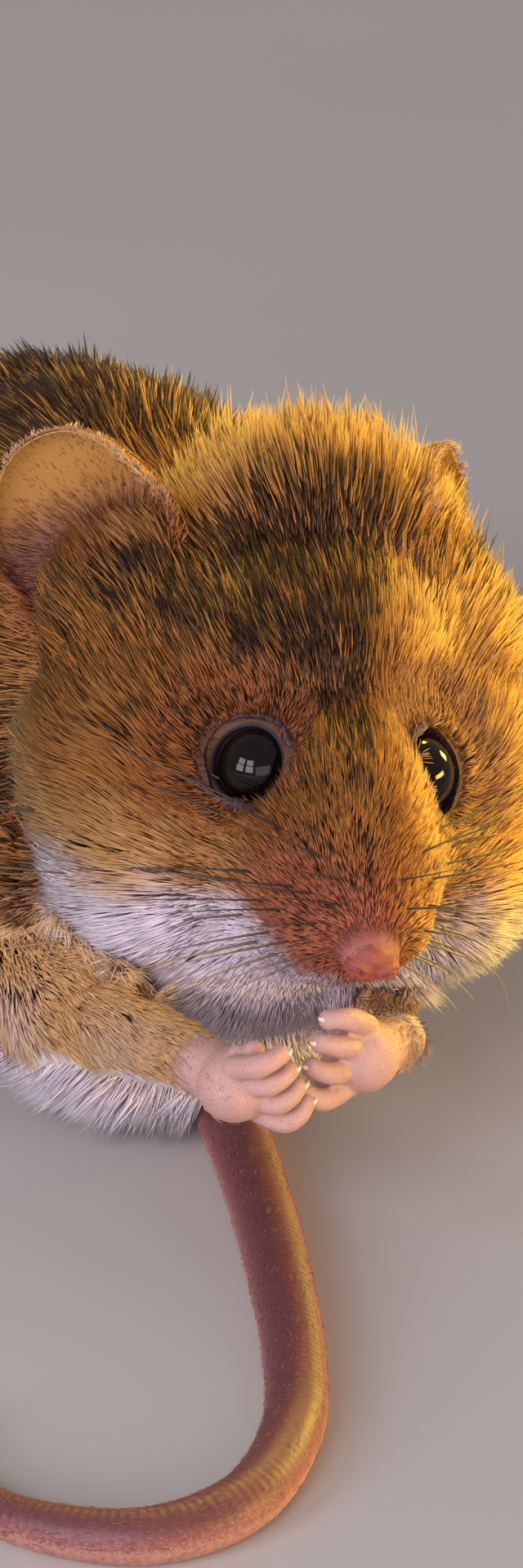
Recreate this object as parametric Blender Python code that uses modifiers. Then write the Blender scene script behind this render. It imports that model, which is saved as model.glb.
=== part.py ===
# A harvest mouse at life size, sitting hunched with both hands raised to its mouth.
# It faces -Y, its left side is +X, and the floor is at z = 0.

import bmesh
import bpy
from math import cos, pi, radians, sin
from mathutils import Matrix, Vector

# All sizes and places below are in millimetres, and each part turns to metres when it is finished
MM = 0.001

# Gap between parts that meet
GAP = 0.3

# Point midway between the eyes, and the head's turn about X, Y and Z in degrees
HEAD_PLACE = Vector((-1.5, -11.6, 16.3))
HEAD_TURN = (8.6, 10.8, -12.4)

# Eyes, in the head's own axes, for the mouse's left side
EYE_PLACE = Vector((2.87, -0.2, 0.05))
EYE_FACING = Vector((0.684, -0.574, 0.449))
EYE_RADIUS = 1.38
LID_RADIUS = 1.66
LID_THICKNESS = 0.56
LID_HEIGHT = 0.42
ORBIT_RADIUS = 2.25
ORBIT_DEPTH = 0.55

# Nose, nostrils and mouth, in the head's own axes
NOSE_PLACE = Vector((0.0, -6.6, -3.05))
NOSE_RADII = (1.15, 0.95, 0.9)
NOSTRIL_RADIUS = 0.24
NOSTRIL_PLACE = Vector((0.6, -7.45, -3.2))
MOUTH_HALF_WIDTH = 1.75
MOUTH_FRONT = -6.5
MOUTH_BACK = -4.4
MOUTH_HEIGHT = -4.6
MOUTH_LINE = 0.34

# Ears, in the head's own axes: base and tip of each, mirrored for the right one, which is spread wider
EAR_PLACES = {
    1: (Vector((5.0, 7.8, 1.4)), Vector((6.4, 11.3, 6.7))),
    -1: (Vector((6.0, 7.6, 0.9)), Vector((9.1, 10.9, 6.2))),
}
EAR_OPENING = Vector((0.80, -0.60, 0.05))
EAR_WIDTH = 7.8
EAR_DEPTH = 1.9
EAR_THICKNESS = 0.6

# Hands
WRIST_RADIUS = 0.95
PALM_RADIUS = 1.35
FINGER_SPACING = 0.74
FINGER_RADII = [0.44, 0.42, 0.36, 0.13]

# Feet: the sole's radii are at the heel, the instep and the ball of the foot
FOOT_LENGTH = 14.0
FOOT_HEEL = Vector((8.3, 17.2, 0.0))
SOLE_HEIGHTS = (1.25, 1.0, 0.85)
SOLE_RADII = [1.3, 1.15, 1.2]
SOLE_SHARE = 0.58
TOE_SPREAD = 1.44
TOE_RADII = [0.55, 0.5, 0.42, 0.14]

# Tail: diameters at the root, where the last taper starts and at the tip, and the number of lengths
TAIL_ROOT_DIAMETER = 2.7
TAIL_MIDDLE_DIAMETER = 2.0
TAIL_MIDDLE = 0.75
TAIL_TIP_DIAMETER = 0.8
TAIL_LENGTHS = 5
TAIL_SINK = 0.06

# The two slanting cuts that part head, neck and torso
THROAT = Vector((-1.0, -8.4, 8.0))
NECK_AXIS = Vector((0.0, -0.78, 0.63))
NECK_LENGTH = 3.2

# Fineness of the modelling
BODY_VOXEL = 0.36
HAND_VOXEL = 0.13
HEAD_TRIANGLES = 3400
NECK_TRIANGLES = 700
TORSO_TRIANGLES = 2400
LEG_TRIANGLES = 420
HAND_TRIANGLES = 620
FOOT_TRIANGLES = 620

HEAD_AXES = (
    Matrix.Translation(HEAD_PLACE)
    @ Matrix.Rotation(radians(HEAD_TURN[2]), 4, "Z")
    @ Matrix.Rotation(radians(HEAD_TURN[0]), 4, "X")
    @ Matrix.Rotation(radians(HEAD_TURN[1]), 4, "Y")
)

# Masses of flesh and coat on the head's midline and on each side of it, in the head's own axes
HEAD_MASSES = {
    "cranium": ((0.0, 5.6, 0.9), (5.8, 6.3, 5.4)),
    "crown": ((0.9, 8.8, 1.6), (6.4, 5.2, 6.9)),
    "bridge": ((0.0, -0.9, 0.3), (2.7, 3.6, 2.7)),
    "snout_root": ((0.0, -1.8, -1.5), (3.5, 3.6, 2.9)),
    "snout": ((0.0, -4.4, -2.4), (2.4, 2.8, 1.8)),
    "jaw": ((0.0, -2.0, -4.3), (3.3, 4.1, 2.2)),
    "throat": ((0.0, 4.6, -4.8), (5.4, 5.2, 4.4)),
}
HEAD_SIDE_MASSES = {
    "cheek": ((4.9, 3.9, -2.6), (4.8, 4.8, 5.0)),
    "jowl": ((4.7, 1.5, -4.9), (4.3, 4.4, 3.9)),
    "temple": ((4.95, 7.0, 0.9), (4.1, 4.5, 4.5)),
    "face": ((2.6, 0.3, -2.9), (3.0, 3.6, 2.8)),
    "muzzle": ((1.6, -1.9, -2.4), (2.4, 3.5, 2.5)),
    "whisker_pad": ((1.15, -4.2, -3.0), (1.95, 2.6, 1.9)),
}

# Masses of the neck and the body, in the mouse's axes
BODY_MASSES = {
    "neck": ((-0.6, -3.0, 14.4), (7.4, 6.6, 7.8)),
    "shoulders": ((-0.2, 2.0, 13.2), (8.6, 7.8, 9.0)),
    "breast": ((-2.4, -4.2, 7.2), (6.0, 5.2, 6.2)),
    "throat_fur": ((-3.2, -8.4, 9.6), (6.4, 4.6, 4.3)),
    "brisket": ((-3.8, -1.4, 4.7), (7.2, 6.6, 5.4)),
    "back": ((-0.3, 9.0, 12.3), (9.5, 9.8, 10.9)),
    "loins": ((0.0, 13.6, 11.8), (9.5, 9.8, 10.7)),
    "pelvis": ((0.2, 17.6, 10.3), (9.3, 8.9, 9.9)),
    "rump": ((0.2, 20.8, 7.8), (8.3, 7.2, 7.8)),
    "belly": ((-0.4, 6.2, 6.0), (8.8, 9.6, 6.3)),
}
HAUNCH_MASSES = {
    "thigh": ((6.9, 14.4, 7.0), (3.6, 6.6, 6.2)),
    "knee": ((8.0, 9.6, 4.8), (2.6, 3.6, 3.7)),
    "hock": ((7.9, 15.9, 2.7), (2.1, 3.2, 2.4)),
}

# Arm joints and radii from shoulder to wrist
ARM_RIGHT = (
    ((-5.6, -1.6, 10.2), 3.2),
    ((-10.2, -5.0, 8.2), 2.3),
    ((-10.7, -10.4, 8.7), 1.8),
    ((-9.0, -15.2, 8.8), 1.2),
)
ARM_LEFT = (
    ((4.4, -1.6, 9.0), 2.6),
    ((2.1, -6.6, 5.7), 1.9),
    ((-0.1, -12.4, 6.9), 1.4),
    ((-1.9, -16.3, 8.0), 1.1),
)

# Palm of each hand, and the way its fingers curl
HAND_RIGHT = ((-8.4, -17.5, 8.7), (1.9, -0.3, 0.9))
HAND_LEFT = ((-3.7, -17.7, 8.7), (-1.3, 0.1, 0.5))


def remove_all():
    for item in list(bpy.data.objects):
        bpy.data.objects.remove(item, do_unlink=True)


def new_object(name, mesh):
    item = bpy.data.objects.new(name, mesh)
    bpy.context.scene.collection.objects.link(item)
    return item


def mesh_object(name, build):
    mesh = bpy.data.meshes.new(name)
    shape = bmesh.new()
    build(shape)
    shape.to_mesh(mesh)
    shape.free()
    return new_object(name, mesh)


def ball(centre, radii, axes=Matrix.Identity(4), fineness=4):
    place = axes @ Matrix.Translation(Vector(centre)) @ Matrix.Diagonal((*radii, 1.0))
    return mesh_object(
        "ball",
        lambda shape: bmesh.ops.create_icosphere(shape, subdivisions=fineness, radius=1.0, matrix=place),
    )


def block(centre, size, axes=Matrix.Identity(4)):
    place = axes @ Matrix.Translation(Vector(centre)) @ Matrix.Diagonal((*size, 1.0))
    return mesh_object("block", lambda shape: bmesh.ops.create_cube(shape, size=1.0, matrix=place))


# A round rod of changing radius through a few points, with closed ends
def rod(points, radii, axes=Matrix.Identity(4), sides=3, straight=False):
    curve = bpy.data.curves.new("rod", "CURVE")
    curve.dimensions = "3D"
    curve.bevel_depth = 1.0
    curve.bevel_resolution = sides
    curve.use_fill_caps = True
    curve.resolution_u = 5
    line = curve.splines.new("POLY" if straight else "BEZIER")
    knots = line.points if straight else line.bezier_points
    knots.add(len(points) - 1)
    for knot, point, radius in zip(knots, points, radii):
        place = axes @ Vector(point)
        knot.co = (*place, 1.0) if straight else place
        knot.radius = radius
        if not straight:
            knot.handle_left_type = "AUTO"
            knot.handle_right_type = "AUTO"
    item = new_object("rod", curve)
    mesh = bpy.data.meshes.new_from_object(item.evaluated_get(bpy.context.evaluated_depsgraph_get()))
    bpy.data.objects.remove(item)
    solid = new_object("rod", mesh)
    edit(solid, lambda shape: bmesh.ops.remove_doubles(shape, verts=shape.verts, dist=0.001))
    return solid


def edit(item, change):
    shape = bmesh.new()
    shape.from_mesh(item.data)
    change(shape)
    shape.to_mesh(item.data)
    shape.free()
    item.data.update()


def apply_modifiers(item):
    graph = bpy.context.evaluated_depsgraph_get()
    mesh = bpy.data.meshes.new_from_object(item.evaluated_get(graph))
    item.modifiers.clear()
    item.data = mesh


def add_modifier(item, kind, **settings):
    modifier = item.modifiers.new(kind.title(), kind)
    for setting, value in settings.items():
        setattr(modifier, setting, value)
    return modifier


def join(pieces, name):
    shape = bmesh.new()
    for piece in pieces:
        shape.from_mesh(piece.data)
        bpy.data.objects.remove(piece)
    mesh = bpy.data.meshes.new(name)
    shape.to_mesh(mesh)
    shape.free()
    return new_object(name, mesh)


# Pieces run together into one soft skin
def blend(pieces, name, voxel, smoothing):
    item = join(pieces, name)
    add_modifier(item, "REMESH", mode="VOXEL", voxel_size=voxel)
    add_modifier(item, "SMOOTH", factor=0.5, iterations=smoothing)
    apply_modifiers(item)
    return item


# Pieces keep their own shapes and become one closed body
def unite(pieces, name):
    group = bpy.data.collections.new("pieces")
    bpy.context.scene.collection.children.link(group)
    first = pieces[0]
    for piece in pieces[1:]:
        group.objects.link(piece)
    add_modifier(
        first, "BOOLEAN", operation="UNION", operand_type="COLLECTION", collection=group, solver="EXACT"
    )
    apply_modifiers(first)
    for piece in pieces[1:]:
        bpy.data.objects.remove(piece)
    bpy.data.collections.remove(group)
    first.name = name
    keep_largest(first)
    return first


def boolean(item, cutter, operation, keep=False, solver="MANIFOLD"):
    add_modifier(item, "BOOLEAN", operation=operation, object=cutter, solver=solver)
    apply_modifiers(item)
    if not keep:
        bpy.data.objects.remove(cutter)


def duplicate(item, name):
    return new_object(name, item.data.copy())


def keep_largest(item):
    def drop_scraps(shape):
        left = set(shape.verts)
        islands = []
        while left:
            seed = left.pop()
            island = {seed}
            front = [seed]
            while front:
                vertex = front.pop()
                for edge in vertex.link_edges:
                    other = edge.other_vert(vertex)
                    if other not in island:
                        island.add(other)
                        front.append(other)
            left -= island
            islands.append(island)
        islands.sort(key=len)
        for island in islands[:-1]:
            bmesh.ops.delete(shape, geom=list(island), context="VERTS")

    edit(item, drop_scraps)


def thin_out(item, triangles):
    edit(item, lambda shape: bmesh.ops.triangulate(shape, faces=shape.faces))
    share = triangles / len(item.data.polygons)
    if share < 1.0:
        add_modifier(item, "DECIMATE", ratio=share, use_collapse_triangulate=True)
        apply_modifiers(item)
    keep_largest(item)


# A copy of the solid, larger by the gap on every side
def grown(item, gap, voxel=BODY_VOXEL):
    copy = duplicate(item, "grown")
    add_modifier(copy, "DISPLACE", strength=gap, mid_level=0.0)
    add_modifier(copy, "REMESH", mode="VOXEL", voxel_size=voxel)
    apply_modifiers(copy)
    return copy


def trim(item, neighbour, gap=GAP, voxel=BODY_VOXEL):
    boolean(item, grown(neighbour, gap, voxel), "DIFFERENCE")
    keep_largest(item)


# The part of a solid between two planes across one direction
def slice_of(item, name, point, direction, near, far):
    axes = Matrix.Translation(point) @ direction.to_track_quat("Z", "Y").to_matrix().to_4x4()
    box = block((0.0, 0.0, (near + far) / 2), (90.0, 90.0, far - near), axes)
    piece = duplicate(item, name)
    boolean(piece, box, "INTERSECT")
    keep_largest(piece)
    return piece


def flatten_at_floor(item):
    boolean(item, block((0.0, 0.0, -15.0), (160.0, 160.0, 30.0)), "DIFFERENCE")
    keep_largest(item)


def sided(point, side):
    return Vector((side * point[0], point[1], point[2]))


def balls(table, axes=Matrix.Identity(4), side=1):
    return [ball(sided(centre, side), radii, axes) for centre, radii in table.values()]


# Route of the tail: under the body, out past the hands, then curling to the mouse's right
TAIL_ROUTE = (
    (0.3, 17.5),
    (0.6, 11.0),
    (-0.4, 3.5),
    (-2.2, -3.5),
    (-4.0, -9.6),
    (-5.6, -14.4),
    (-7.2, -18.6),
    (-8.9, -22.6),
    (-11.0, -26.3),
    (-14.2, -29.1),
    (-17.8, -29.2),
    (-20.7, -26.4),
    (-21.4, -22.6),
    (-19.6, -19.8),
)


def smooth_route(knots, steps):
    knots = [Vector(knot) for knot in knots]
    padded = [2 * knots[0] - knots[1], *knots, 2 * knots[-1] - knots[-2]]
    line = []
    for first, second, third, fourth in zip(padded, padded[1:], padded[2:], padded[3:]):
        for step in range(steps):
            t = step / steps
            line.append(
                0.5
                * (
                    2 * second
                    + (third - first) * t
                    + (2 * first - 5 * second + 4 * third - fourth) * t**2
                    + (3 * second - 3 * third + fourth - first) * t**3
                )
            )
    line.append(knots[-1])
    return line


def route_lengths(line):
    total = [0.0]
    for start, end in zip(line, line[1:]):
        total.append(total[-1] + (end - start).length)
    return total


def tail_radius(share):
    width = TAIL_ROOT_DIAMETER + (TAIL_MIDDLE_DIAMETER - TAIL_ROOT_DIAMETER) * min(share / TAIL_MIDDLE, 1.0)
    end = max(share - TAIL_MIDDLE, 0.0) / (1 - TAIL_MIDDLE)
    return (width - (TAIL_MIDDLE_DIAMETER - TAIL_TIP_DIAMETER) * end**1.6) / 2


# Evenly spaced centre points of the tail from one share of its length to another
def tail_points(start, end, spacing=1.3):
    line = smooth_route(TAIL_ROUTE, 12)
    total = route_lengths(line)
    count = max(3, round((end - start) * total[-1] / spacing))
    points = []
    radii = []
    for index in range(count + 1):
        share = start + (end - start) * index / count
        reach = share * total[-1]
        place = max(0, min(len(line) - 2, next(i for i, t in enumerate(total) if t >= reach - 1e-9) - 1))
        t = (reach - total[place]) / (total[place + 1] - total[place])
        spot = line[place].lerp(line[place + 1], t)
        radius = tail_radius(share)
        points.append(Vector((spot.x, spot.y, radius - TAIL_SINK)))
        radii.append(radius)
    return points, radii


def tail_length():
    return route_lengths(smooth_route(TAIL_ROUTE, 12))[-1]


def make_tail():
    half_gap = GAP / 2 / tail_length()
    parts = []
    for index in range(TAIL_LENGTHS):
        start = index / TAIL_LENGTHS + (half_gap if index else 0.0)
        end = (index + 1) / TAIL_LENGTHS - (half_gap if index < TAIL_LENGTHS - 1 else 0.0)
        points, radii = tail_points(start, end)
        part = rod(points, radii, straight=True)
        if index == TAIL_LENGTHS - 1:
            part = unite([part, ball(points[-1], (radii[-1],) * 3, fineness=2)], "tail_tip")
        flatten_at_floor(part)
        part.name = f"tail_{index + 1}"
        parts.append(part)
    return parts


def tail_channel():
    points, radii = tail_points(0.0, 0.6)
    wide = [radius + GAP for radius in radii]
    ends = [ball(points[0], (wide[0],) * 3), ball(points[-1], (wide[-1],) * 3)]
    return join([rod(points, wide, straight=True), *ends], "channel")


def make_body():
    pieces = balls(HEAD_MASSES, HEAD_AXES) + balls(BODY_MASSES)
    for side in (1, -1):
        pieces += balls(HEAD_SIDE_MASSES, HEAD_AXES, side)
    return blend(pieces, "body", BODY_VOXEL, 40)


def make_haunch(side):
    return blend(balls(HAUNCH_MASSES, side=side), "haunch", BODY_VOXEL, 12)


def make_arm(joints):
    points = [joint[0] for joint in joints]
    radii = [joint[1] for joint in joints]
    ends = [ball(points[0], (radii[0],) * 3), ball(points[-1], (radii[-1],) * 3)]
    return blend([rod(points, radii), *ends], "arm", BODY_VOXEL, 4)


def eye_axes(side):
    facing = HEAD_AXES.to_3x3() @ sided(EYE_FACING, side)
    turn = facing.to_track_quat("Z", "Y").to_matrix().to_4x4()
    return Matrix.Translation(HEAD_AXES @ sided(EYE_PLACE, side)) @ turn


def make_eye(side):
    def globe(shape):
        axes = eye_axes(side)
        bmesh.ops.create_uvsphere(shape, u_segments=16, v_segments=10, radius=EYE_RADIUS, matrix=axes)

    return mesh_object("eye", globe)


def lid_ring(side):
    bpy.ops.mesh.primitive_torus_add(
        major_radius=LID_RADIUS, minor_radius=LID_THICKNESS / 2, major_segments=28, minor_segments=8
    )
    ring = bpy.context.object
    ring.data.transform(eye_axes(side) @ Matrix.Translation((0.0, 0.0, LID_HEIGHT)))
    return ring


def mouth_cutter():
    points = []
    for step in range(9):
        angle = pi * (step / 8)
        along = MOUTH_BACK + (MOUTH_FRONT - MOUTH_BACK) * sin(angle)
        points.append((MOUTH_HALF_WIDTH * cos(angle), along, MOUTH_HEIGHT + 0.35 * abs(cos(angle))))
    return rod(points, [MOUTH_LINE / 2] * len(points), HEAD_AXES, sides=1)


def carve_face(head):
    nose = ball(NOSE_PLACE, NOSE_RADII, HEAD_AXES, fineness=3)
    for side in (1, -1):
        middle = (0.0, 0.0, ORBIT_RADIUS + EYE_RADIUS - ORBIT_DEPTH)
        orbit = ball(middle, (ORBIT_RADIUS,) * 3, eye_axes(side), 3)
        boolean(head, orbit, "DIFFERENCE")
    head = unite([head, nose, lid_ring(1), lid_ring(-1)], "head")
    for side in (1, -1):
        socket = ball((0.0, 0.0, 0.0), (EYE_RADIUS + GAP,) * 3, eye_axes(side), fineness=3)
        boolean(head, socket, "DIFFERENCE")
        nostril = ball(sided(NOSTRIL_PLACE, side), (NOSTRIL_RADIUS,) * 3, HEAD_AXES, fineness=2)
        boolean(head, nostril, "DIFFERENCE")
    boolean(head, mouth_cutter(), "DIFFERENCE")
    keep_largest(head)
    return head


# A cupped ear: a flattened bowl, open towards the front and side, narrow at its root
def make_ear(side):
    base, tip = (HEAD_AXES @ sided(place, side) for place in EAR_PLACES[side])
    rise = (tip - base).normalized()
    opening = HEAD_AXES.to_3x3() @ sided(EAR_OPENING, side)
    opening = (opening - rise * opening.dot(rise)).normalized()
    across = opening.cross(rise)
    axes = Matrix((across, opening, rise)).transposed().to_4x4()
    height = (tip - base).length
    axes = Matrix.Translation(base) @ axes
    outer = (EAR_WIDTH / 2, EAR_DEPTH, height * 0.56)
    middle = (0.0, 0.0, height * 0.44)
    inner = tuple(size - EAR_THICKNESS for size in outer)
    shell = ball(middle, outer, axes, fineness=4)
    hollow = ball(middle, inner, axes, fineness=3)
    boolean(shell, hollow, "DIFFERENCE")
    front = block((0.0, 10.2, 0.0), (40.0, 20.0, 40.0), axes)
    boolean(shell, front, "DIFFERENCE")
    keep_largest(shell)
    return shell


def make_hand(wrist, palm, aim):
    wrist = Vector(wrist)
    palm = Vector(palm)
    reach = (palm - wrist).normalized()
    aim = Vector(aim).normalized()
    across = reach.cross(aim).normalized()
    pieces = [rod([wrist, palm], [WRIST_RADIUS, WRIST_RADIUS + 0.2], straight=True, sides=4)]
    pieces += [ball(wrist, (WRIST_RADIUS,) * 3), ball(palm, (PALM_RADIUS,) * 3)]
    for index in range(4):
        spread = (index - 1.5) * FINGER_SPACING
        root = palm + across * spread + reach * 0.4
        knuckle = root + reach * 0.85 + across * spread * 0.3 + aim * 0.3
        end = knuckle + aim * 0.85 + reach * 0.1 - across * spread * 0.12
        claw = end + aim * 0.4 - reach * 0.4
        pieces.append(rod([root, knuckle, end, claw], FINGER_RADII, sides=2))
        pieces.append(ball(end, (FINGER_RADII[2] + 0.02,) * 3, fineness=2))
    return blend(pieces, "hand", HAND_VOXEL, 2)


def make_foot(side):
    heel = sided(FOOT_HEEL, side)
    ball_of_foot = heel + Vector((side * 0.5, -FOOT_LENGTH * SOLE_SHARE, 0.0))
    spots = (heel, heel.lerp(ball_of_foot, 0.5), ball_of_foot)
    sole = [spot + Vector((0.0, 0.0, height)) for spot, height in zip(spots, SOLE_HEIGHTS)]
    pieces = [rod(sole, SOLE_RADII, sides=3), ball(sole[0], (SOLE_RADII[0],) * 3)]
    pieces.append(ball(sole[2], (1.55, 1.4, 0.95)))
    for index in range(5):
        spread = (index - 2) / 2
        reach = FOOT_LENGTH * (0.40 - 0.10 * spread * spread - 0.03 * spread)
        root = ball_of_foot + Vector((side * spread, 0.2, 0.62))
        middle = root + Vector((side * spread * TOE_SPREAD / 2, -reach * 0.5, 0.28))
        end = root + Vector((side * spread * TOE_SPREAD, -reach * 0.86, -0.12))
        claw = end + Vector((side * spread * 0.2, -reach * 0.16, -0.12))
        pieces.append(rod([root, middle, end, claw], TOE_RADII, sides=2))
        pieces.append(ball(end, (TOE_RADII[2] + 0.03,) * 3, fineness=2))
    return blend(pieces, "foot", HAND_VOXEL * 1.2, 2)


def material(name, colour, roughness):
    surface = bpy.data.materials.new(name)
    surface.use_nodes = True
    shader = surface.node_tree.nodes["Principled BSDF"]
    shader.inputs["Base Color"].default_value = (*colour, 1.0)
    shader.inputs["Roughness"].default_value = roughness
    shader.inputs["Metallic"].default_value = 0.0
    return surface


def finish(item, name, surface, group, root):
    edit(item, lambda shape: bmesh.ops.triangulate(shape, faces=shape.faces))
    item.name = name
    item.data.name = name
    item.data.transform(Matrix.Scale(MM, 4))
    item.data.materials.clear()
    item.data.materials.append(surface)
    item.data.shade_smooth()
    item.data.set_sharp_from_angle(angle=radians(40))
    bpy.context.scene.collection.objects.unlink(item)
    group.objects.link(item)
    item.parent = root


def main():
    remove_all()
    body = make_body()
    haunches = {side: make_haunch(side) for side in (1, -1)}
    arms = {1: make_arm(ARM_LEFT), -1: make_arm(ARM_RIGHT)}

    # The head leaves the neck, and the neck the torso, by two slanting cuts
    head = slice_of(body, "head", THROAT, NECK_AXIS, 0.0, 60.0)
    neck = slice_of(body, "neck", THROAT, NECK_AXIS, -NECK_LENGTH, -GAP)
    torso = slice_of(body, "torso", THROAT, NECK_AXIS, -70.0, -NECK_LENGTH - GAP)
    bpy.data.objects.remove(body)

    boolean(torso, tail_channel(), "DIFFERENCE")
    for side in (1, -1):
        trim(torso, haunches[side])
        trim(torso, arms[side])
        trim(neck, arms[side])
        trim(head, arms[side])

    thin_out(head, HEAD_TRIANGLES)
    head = carve_face(head)
    thin_out(neck, NECK_TRIANGLES)
    thin_out(torso, TORSO_TRIANGLES)
    flatten_at_floor(torso)

    hands = {}
    for side, joints, pose in ((1, ARM_LEFT, HAND_LEFT), (-1, ARM_RIGHT, HAND_RIGHT)):
        hands[side] = make_hand(joints[-1][0], *pose)
        trim(hands[side], arms[side])
    trim(hands[-1], hands[1], voxel=HAND_VOXEL)

    parts = {"head": head, "neck": neck, "torso": torso}
    for side, name in ((1, "left"), (-1, "right")):
        ear = make_ear(side)
        trim(ear, head)
        parts[f"ear_{name}"] = ear
        parts[f"eye_{name}"] = make_eye(side)

        haunch = haunches[side]
        foot = make_foot(side)
        trim(foot, haunch)
        thin_out(foot, FOOT_TRIANGLES)
        flatten_at_floor(foot)
        thin_out(haunch, LEG_TRIANGLES)
        flatten_at_floor(haunch)
        parts[f"hindleg_{name}"] = haunch
        parts[f"hindfoot_{name}"] = foot

        thin_out(arms[side], LEG_TRIANGLES)
        thin_out(hands[side], HAND_TRIANGLES)
        parts[f"foreleg_{name}"] = arms[side]
        parts[f"hand_{name}"] = hands[side]
    for part in make_tail():
        parts[part.name] = part

    fur = material("agouti_fur", (0.30, 0.15, 0.055), 0.85)
    skin = material("pink_skin", (0.55, 0.27, 0.22), 0.55)
    eye = material("black_eye", (0.01, 0.008, 0.01), 0.08)
    group = bpy.data.collections.new("harvest_mouse")
    bpy.context.scene.collection.children.link(group)
    root = bpy.data.objects.new("mouse", None)
    group.objects.link(root)
    for name, item in parts.items():
        bare = name.startswith(("hand", "hindfoot", "ear", "tail"))
        finish(item, name, eye if name.startswith("eye") else skin if bare else fur, group, root)

    corners = [Vector(vertex.co) for name, item in parts.items() for vertex in item.data.vertices]
    low = Vector([min(corner[axis] for corner in corners) for axis in range(3)])
    high = Vector([max(corner[axis] for corner in corners) for axis in range(3)])
    root.location = (-(low.x + high.x) / 2, -(low.y + high.y) / 2, -low.z)


main()
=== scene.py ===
from functools import partial
from math import cos, pi, radians, sin

import bmesh
import bpy
import numpy as np
from mathutils import Matrix, Vector
from mathutils.bvhtree import BVHTree
from mathutils.kdtree import KDTree


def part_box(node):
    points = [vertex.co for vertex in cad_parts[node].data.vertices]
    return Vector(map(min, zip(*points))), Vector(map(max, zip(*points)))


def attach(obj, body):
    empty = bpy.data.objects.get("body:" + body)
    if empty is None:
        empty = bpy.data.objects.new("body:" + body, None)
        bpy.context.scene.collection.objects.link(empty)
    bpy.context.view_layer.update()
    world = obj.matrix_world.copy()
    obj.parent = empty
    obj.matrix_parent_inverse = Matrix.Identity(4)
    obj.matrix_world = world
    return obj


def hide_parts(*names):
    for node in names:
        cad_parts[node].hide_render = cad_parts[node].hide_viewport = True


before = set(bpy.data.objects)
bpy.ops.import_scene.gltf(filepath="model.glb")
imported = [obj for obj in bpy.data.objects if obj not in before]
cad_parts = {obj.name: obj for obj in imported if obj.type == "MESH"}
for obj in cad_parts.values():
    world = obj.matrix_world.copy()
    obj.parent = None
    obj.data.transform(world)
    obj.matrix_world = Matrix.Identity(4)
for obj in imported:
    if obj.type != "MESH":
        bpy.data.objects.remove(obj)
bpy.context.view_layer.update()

# Everything is modelled in millimetres in the source's own axes, then moved to the frame.
# The mouse faces -Y and its left side is +X.
headPlan = {"place": (-1.5, -11.6, 16.3), "turn": (8.6, 10.8, -12.4)}
eyePlan = {"place": (2.87, -0.2, 0.05), "facing": (0.735, -0.505, 0.452), "radius": 1.38,
           "lidInner": (1.26, 0.56), "lidOuter": (1.76, -0.1), "lidThickness": 0.11}
armRoutes = {
    "right": [((-5.6, -1.6, 10.2), 3.2), ((-10.2, -5.0, 8.2), 2.3), ((-10.7, -10.4, 8.7), 1.8),
              ((-9.0, -15.2, 8.8), 1.2)],
    "left": [((4.4, -1.6, 9.0), 2.6), ((2.1, -6.6, 5.7), 1.9), ((-0.1, -12.4, 6.9), 1.4),
             ((-1.9, -16.3, 8.0), 1.1)],
}
legMasses = [((6.9, 14.4, 7.0), (3.6, 6.6, 6.2)), ((8.0, 9.6, 4.8), (2.6, 3.6, 3.7)),
             ((7.9, 15.9, 2.7), (2.1, 3.2, 2.4))]
throat = np.array((-1.0, -8.4, 8.0))  # where the head leaves the neck
forward = np.array((0.0, -0.78, 0.63))

headAxes = Matrix.Translation(headPlan["place"])
for turn, letter in ((2, "Z"), (0, "X"), (1, "Y")):
    headAxes = headAxes @ Matrix.Rotation(radians(headPlan["turn"][turn]), 4, letter)
headTurn = np.array(headAxes.to_3x3())

corners = [Vector(corner) for name in ("eye_left", "eye_right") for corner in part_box(name)]
eyeMiddle = sum(corners, Vector()) * (1000 / 4)
shift = eyeMiddle - headAxes @ Vector((0.0, *eyePlan["place"][1:]))
toFrame = Matrix.Scale(0.001, 4) @ Matrix.Translation(shift)


def onSide(point, side):
    return Vector((side * point[0], point[1], point[2]))


def toHead(points):
    return (points - np.array(headPlan["place"])) @ headTurn


def eased(values, low, high):
    share = np.clip((values - low) / (high - low), 0.0, 1.0)
    return share * share * (3 - 2 * share)


def faded(values, low, high):
    return 1 - eased(values, low, high)


def mixed(first, second, share):
    return first + (second - first) * share


def unit(vectors):
    return vectors / np.maximum(np.linalg.norm(vectors, axis=-1, keepdims=True), 1e-9)


def meshArray(items, name, width=3, kind=np.float32):
    values = np.empty(len(items) * width, kind)
    items.foreach_get(name, values)
    return values.reshape(-1, width).astype(float if kind == np.float32 else kind)


def pointsOf(item, name="co"):
    return meshArray(item.data.vertices, name)


def setPoints(item, points):
    item.data.vertices.foreach_set("co", points.astype(np.float32).ravel())


def newObject(name, data):
    item = bpy.data.objects.new(name, data)
    bpy.context.scene.collection.objects.link(item)
    return item


def fromBmesh(mesh, name):
    data = bpy.data.meshes.new(name)
    mesh.to_mesh(data)
    mesh.free()
    return newObject(name, data)


# A mesh from arrays of points and faces that all have the same number of corners
def arrayMesh(name, points, faces):
    mesh = bpy.data.meshes.new(name)
    faces = np.asarray(faces, np.int32)
    mesh.vertices.add(len(points))
    mesh.vertices.foreach_set("co", np.asarray(points, np.float32).ravel())
    mesh.loops.add(faces.size)
    mesh.loops.foreach_set("vertex_index", faces.ravel())
    mesh.polygons.add(len(faces))
    mesh.polygons.foreach_set("loop_start", np.arange(len(faces), dtype=np.int32) * faces.shape[1])
    mesh.update(calc_edges=True)
    mesh.polygons.foreach_set("use_smooth", np.ones(len(faces), bool))
    return newObject(name, mesh)


def setMark(mesh, name, values):
    mark = mesh.attributes.get(name) or mesh.attributes.new(name, "FLOAT", "POINT")
    mark.data.foreach_set("value", np.asarray(values, np.float32))


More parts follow.
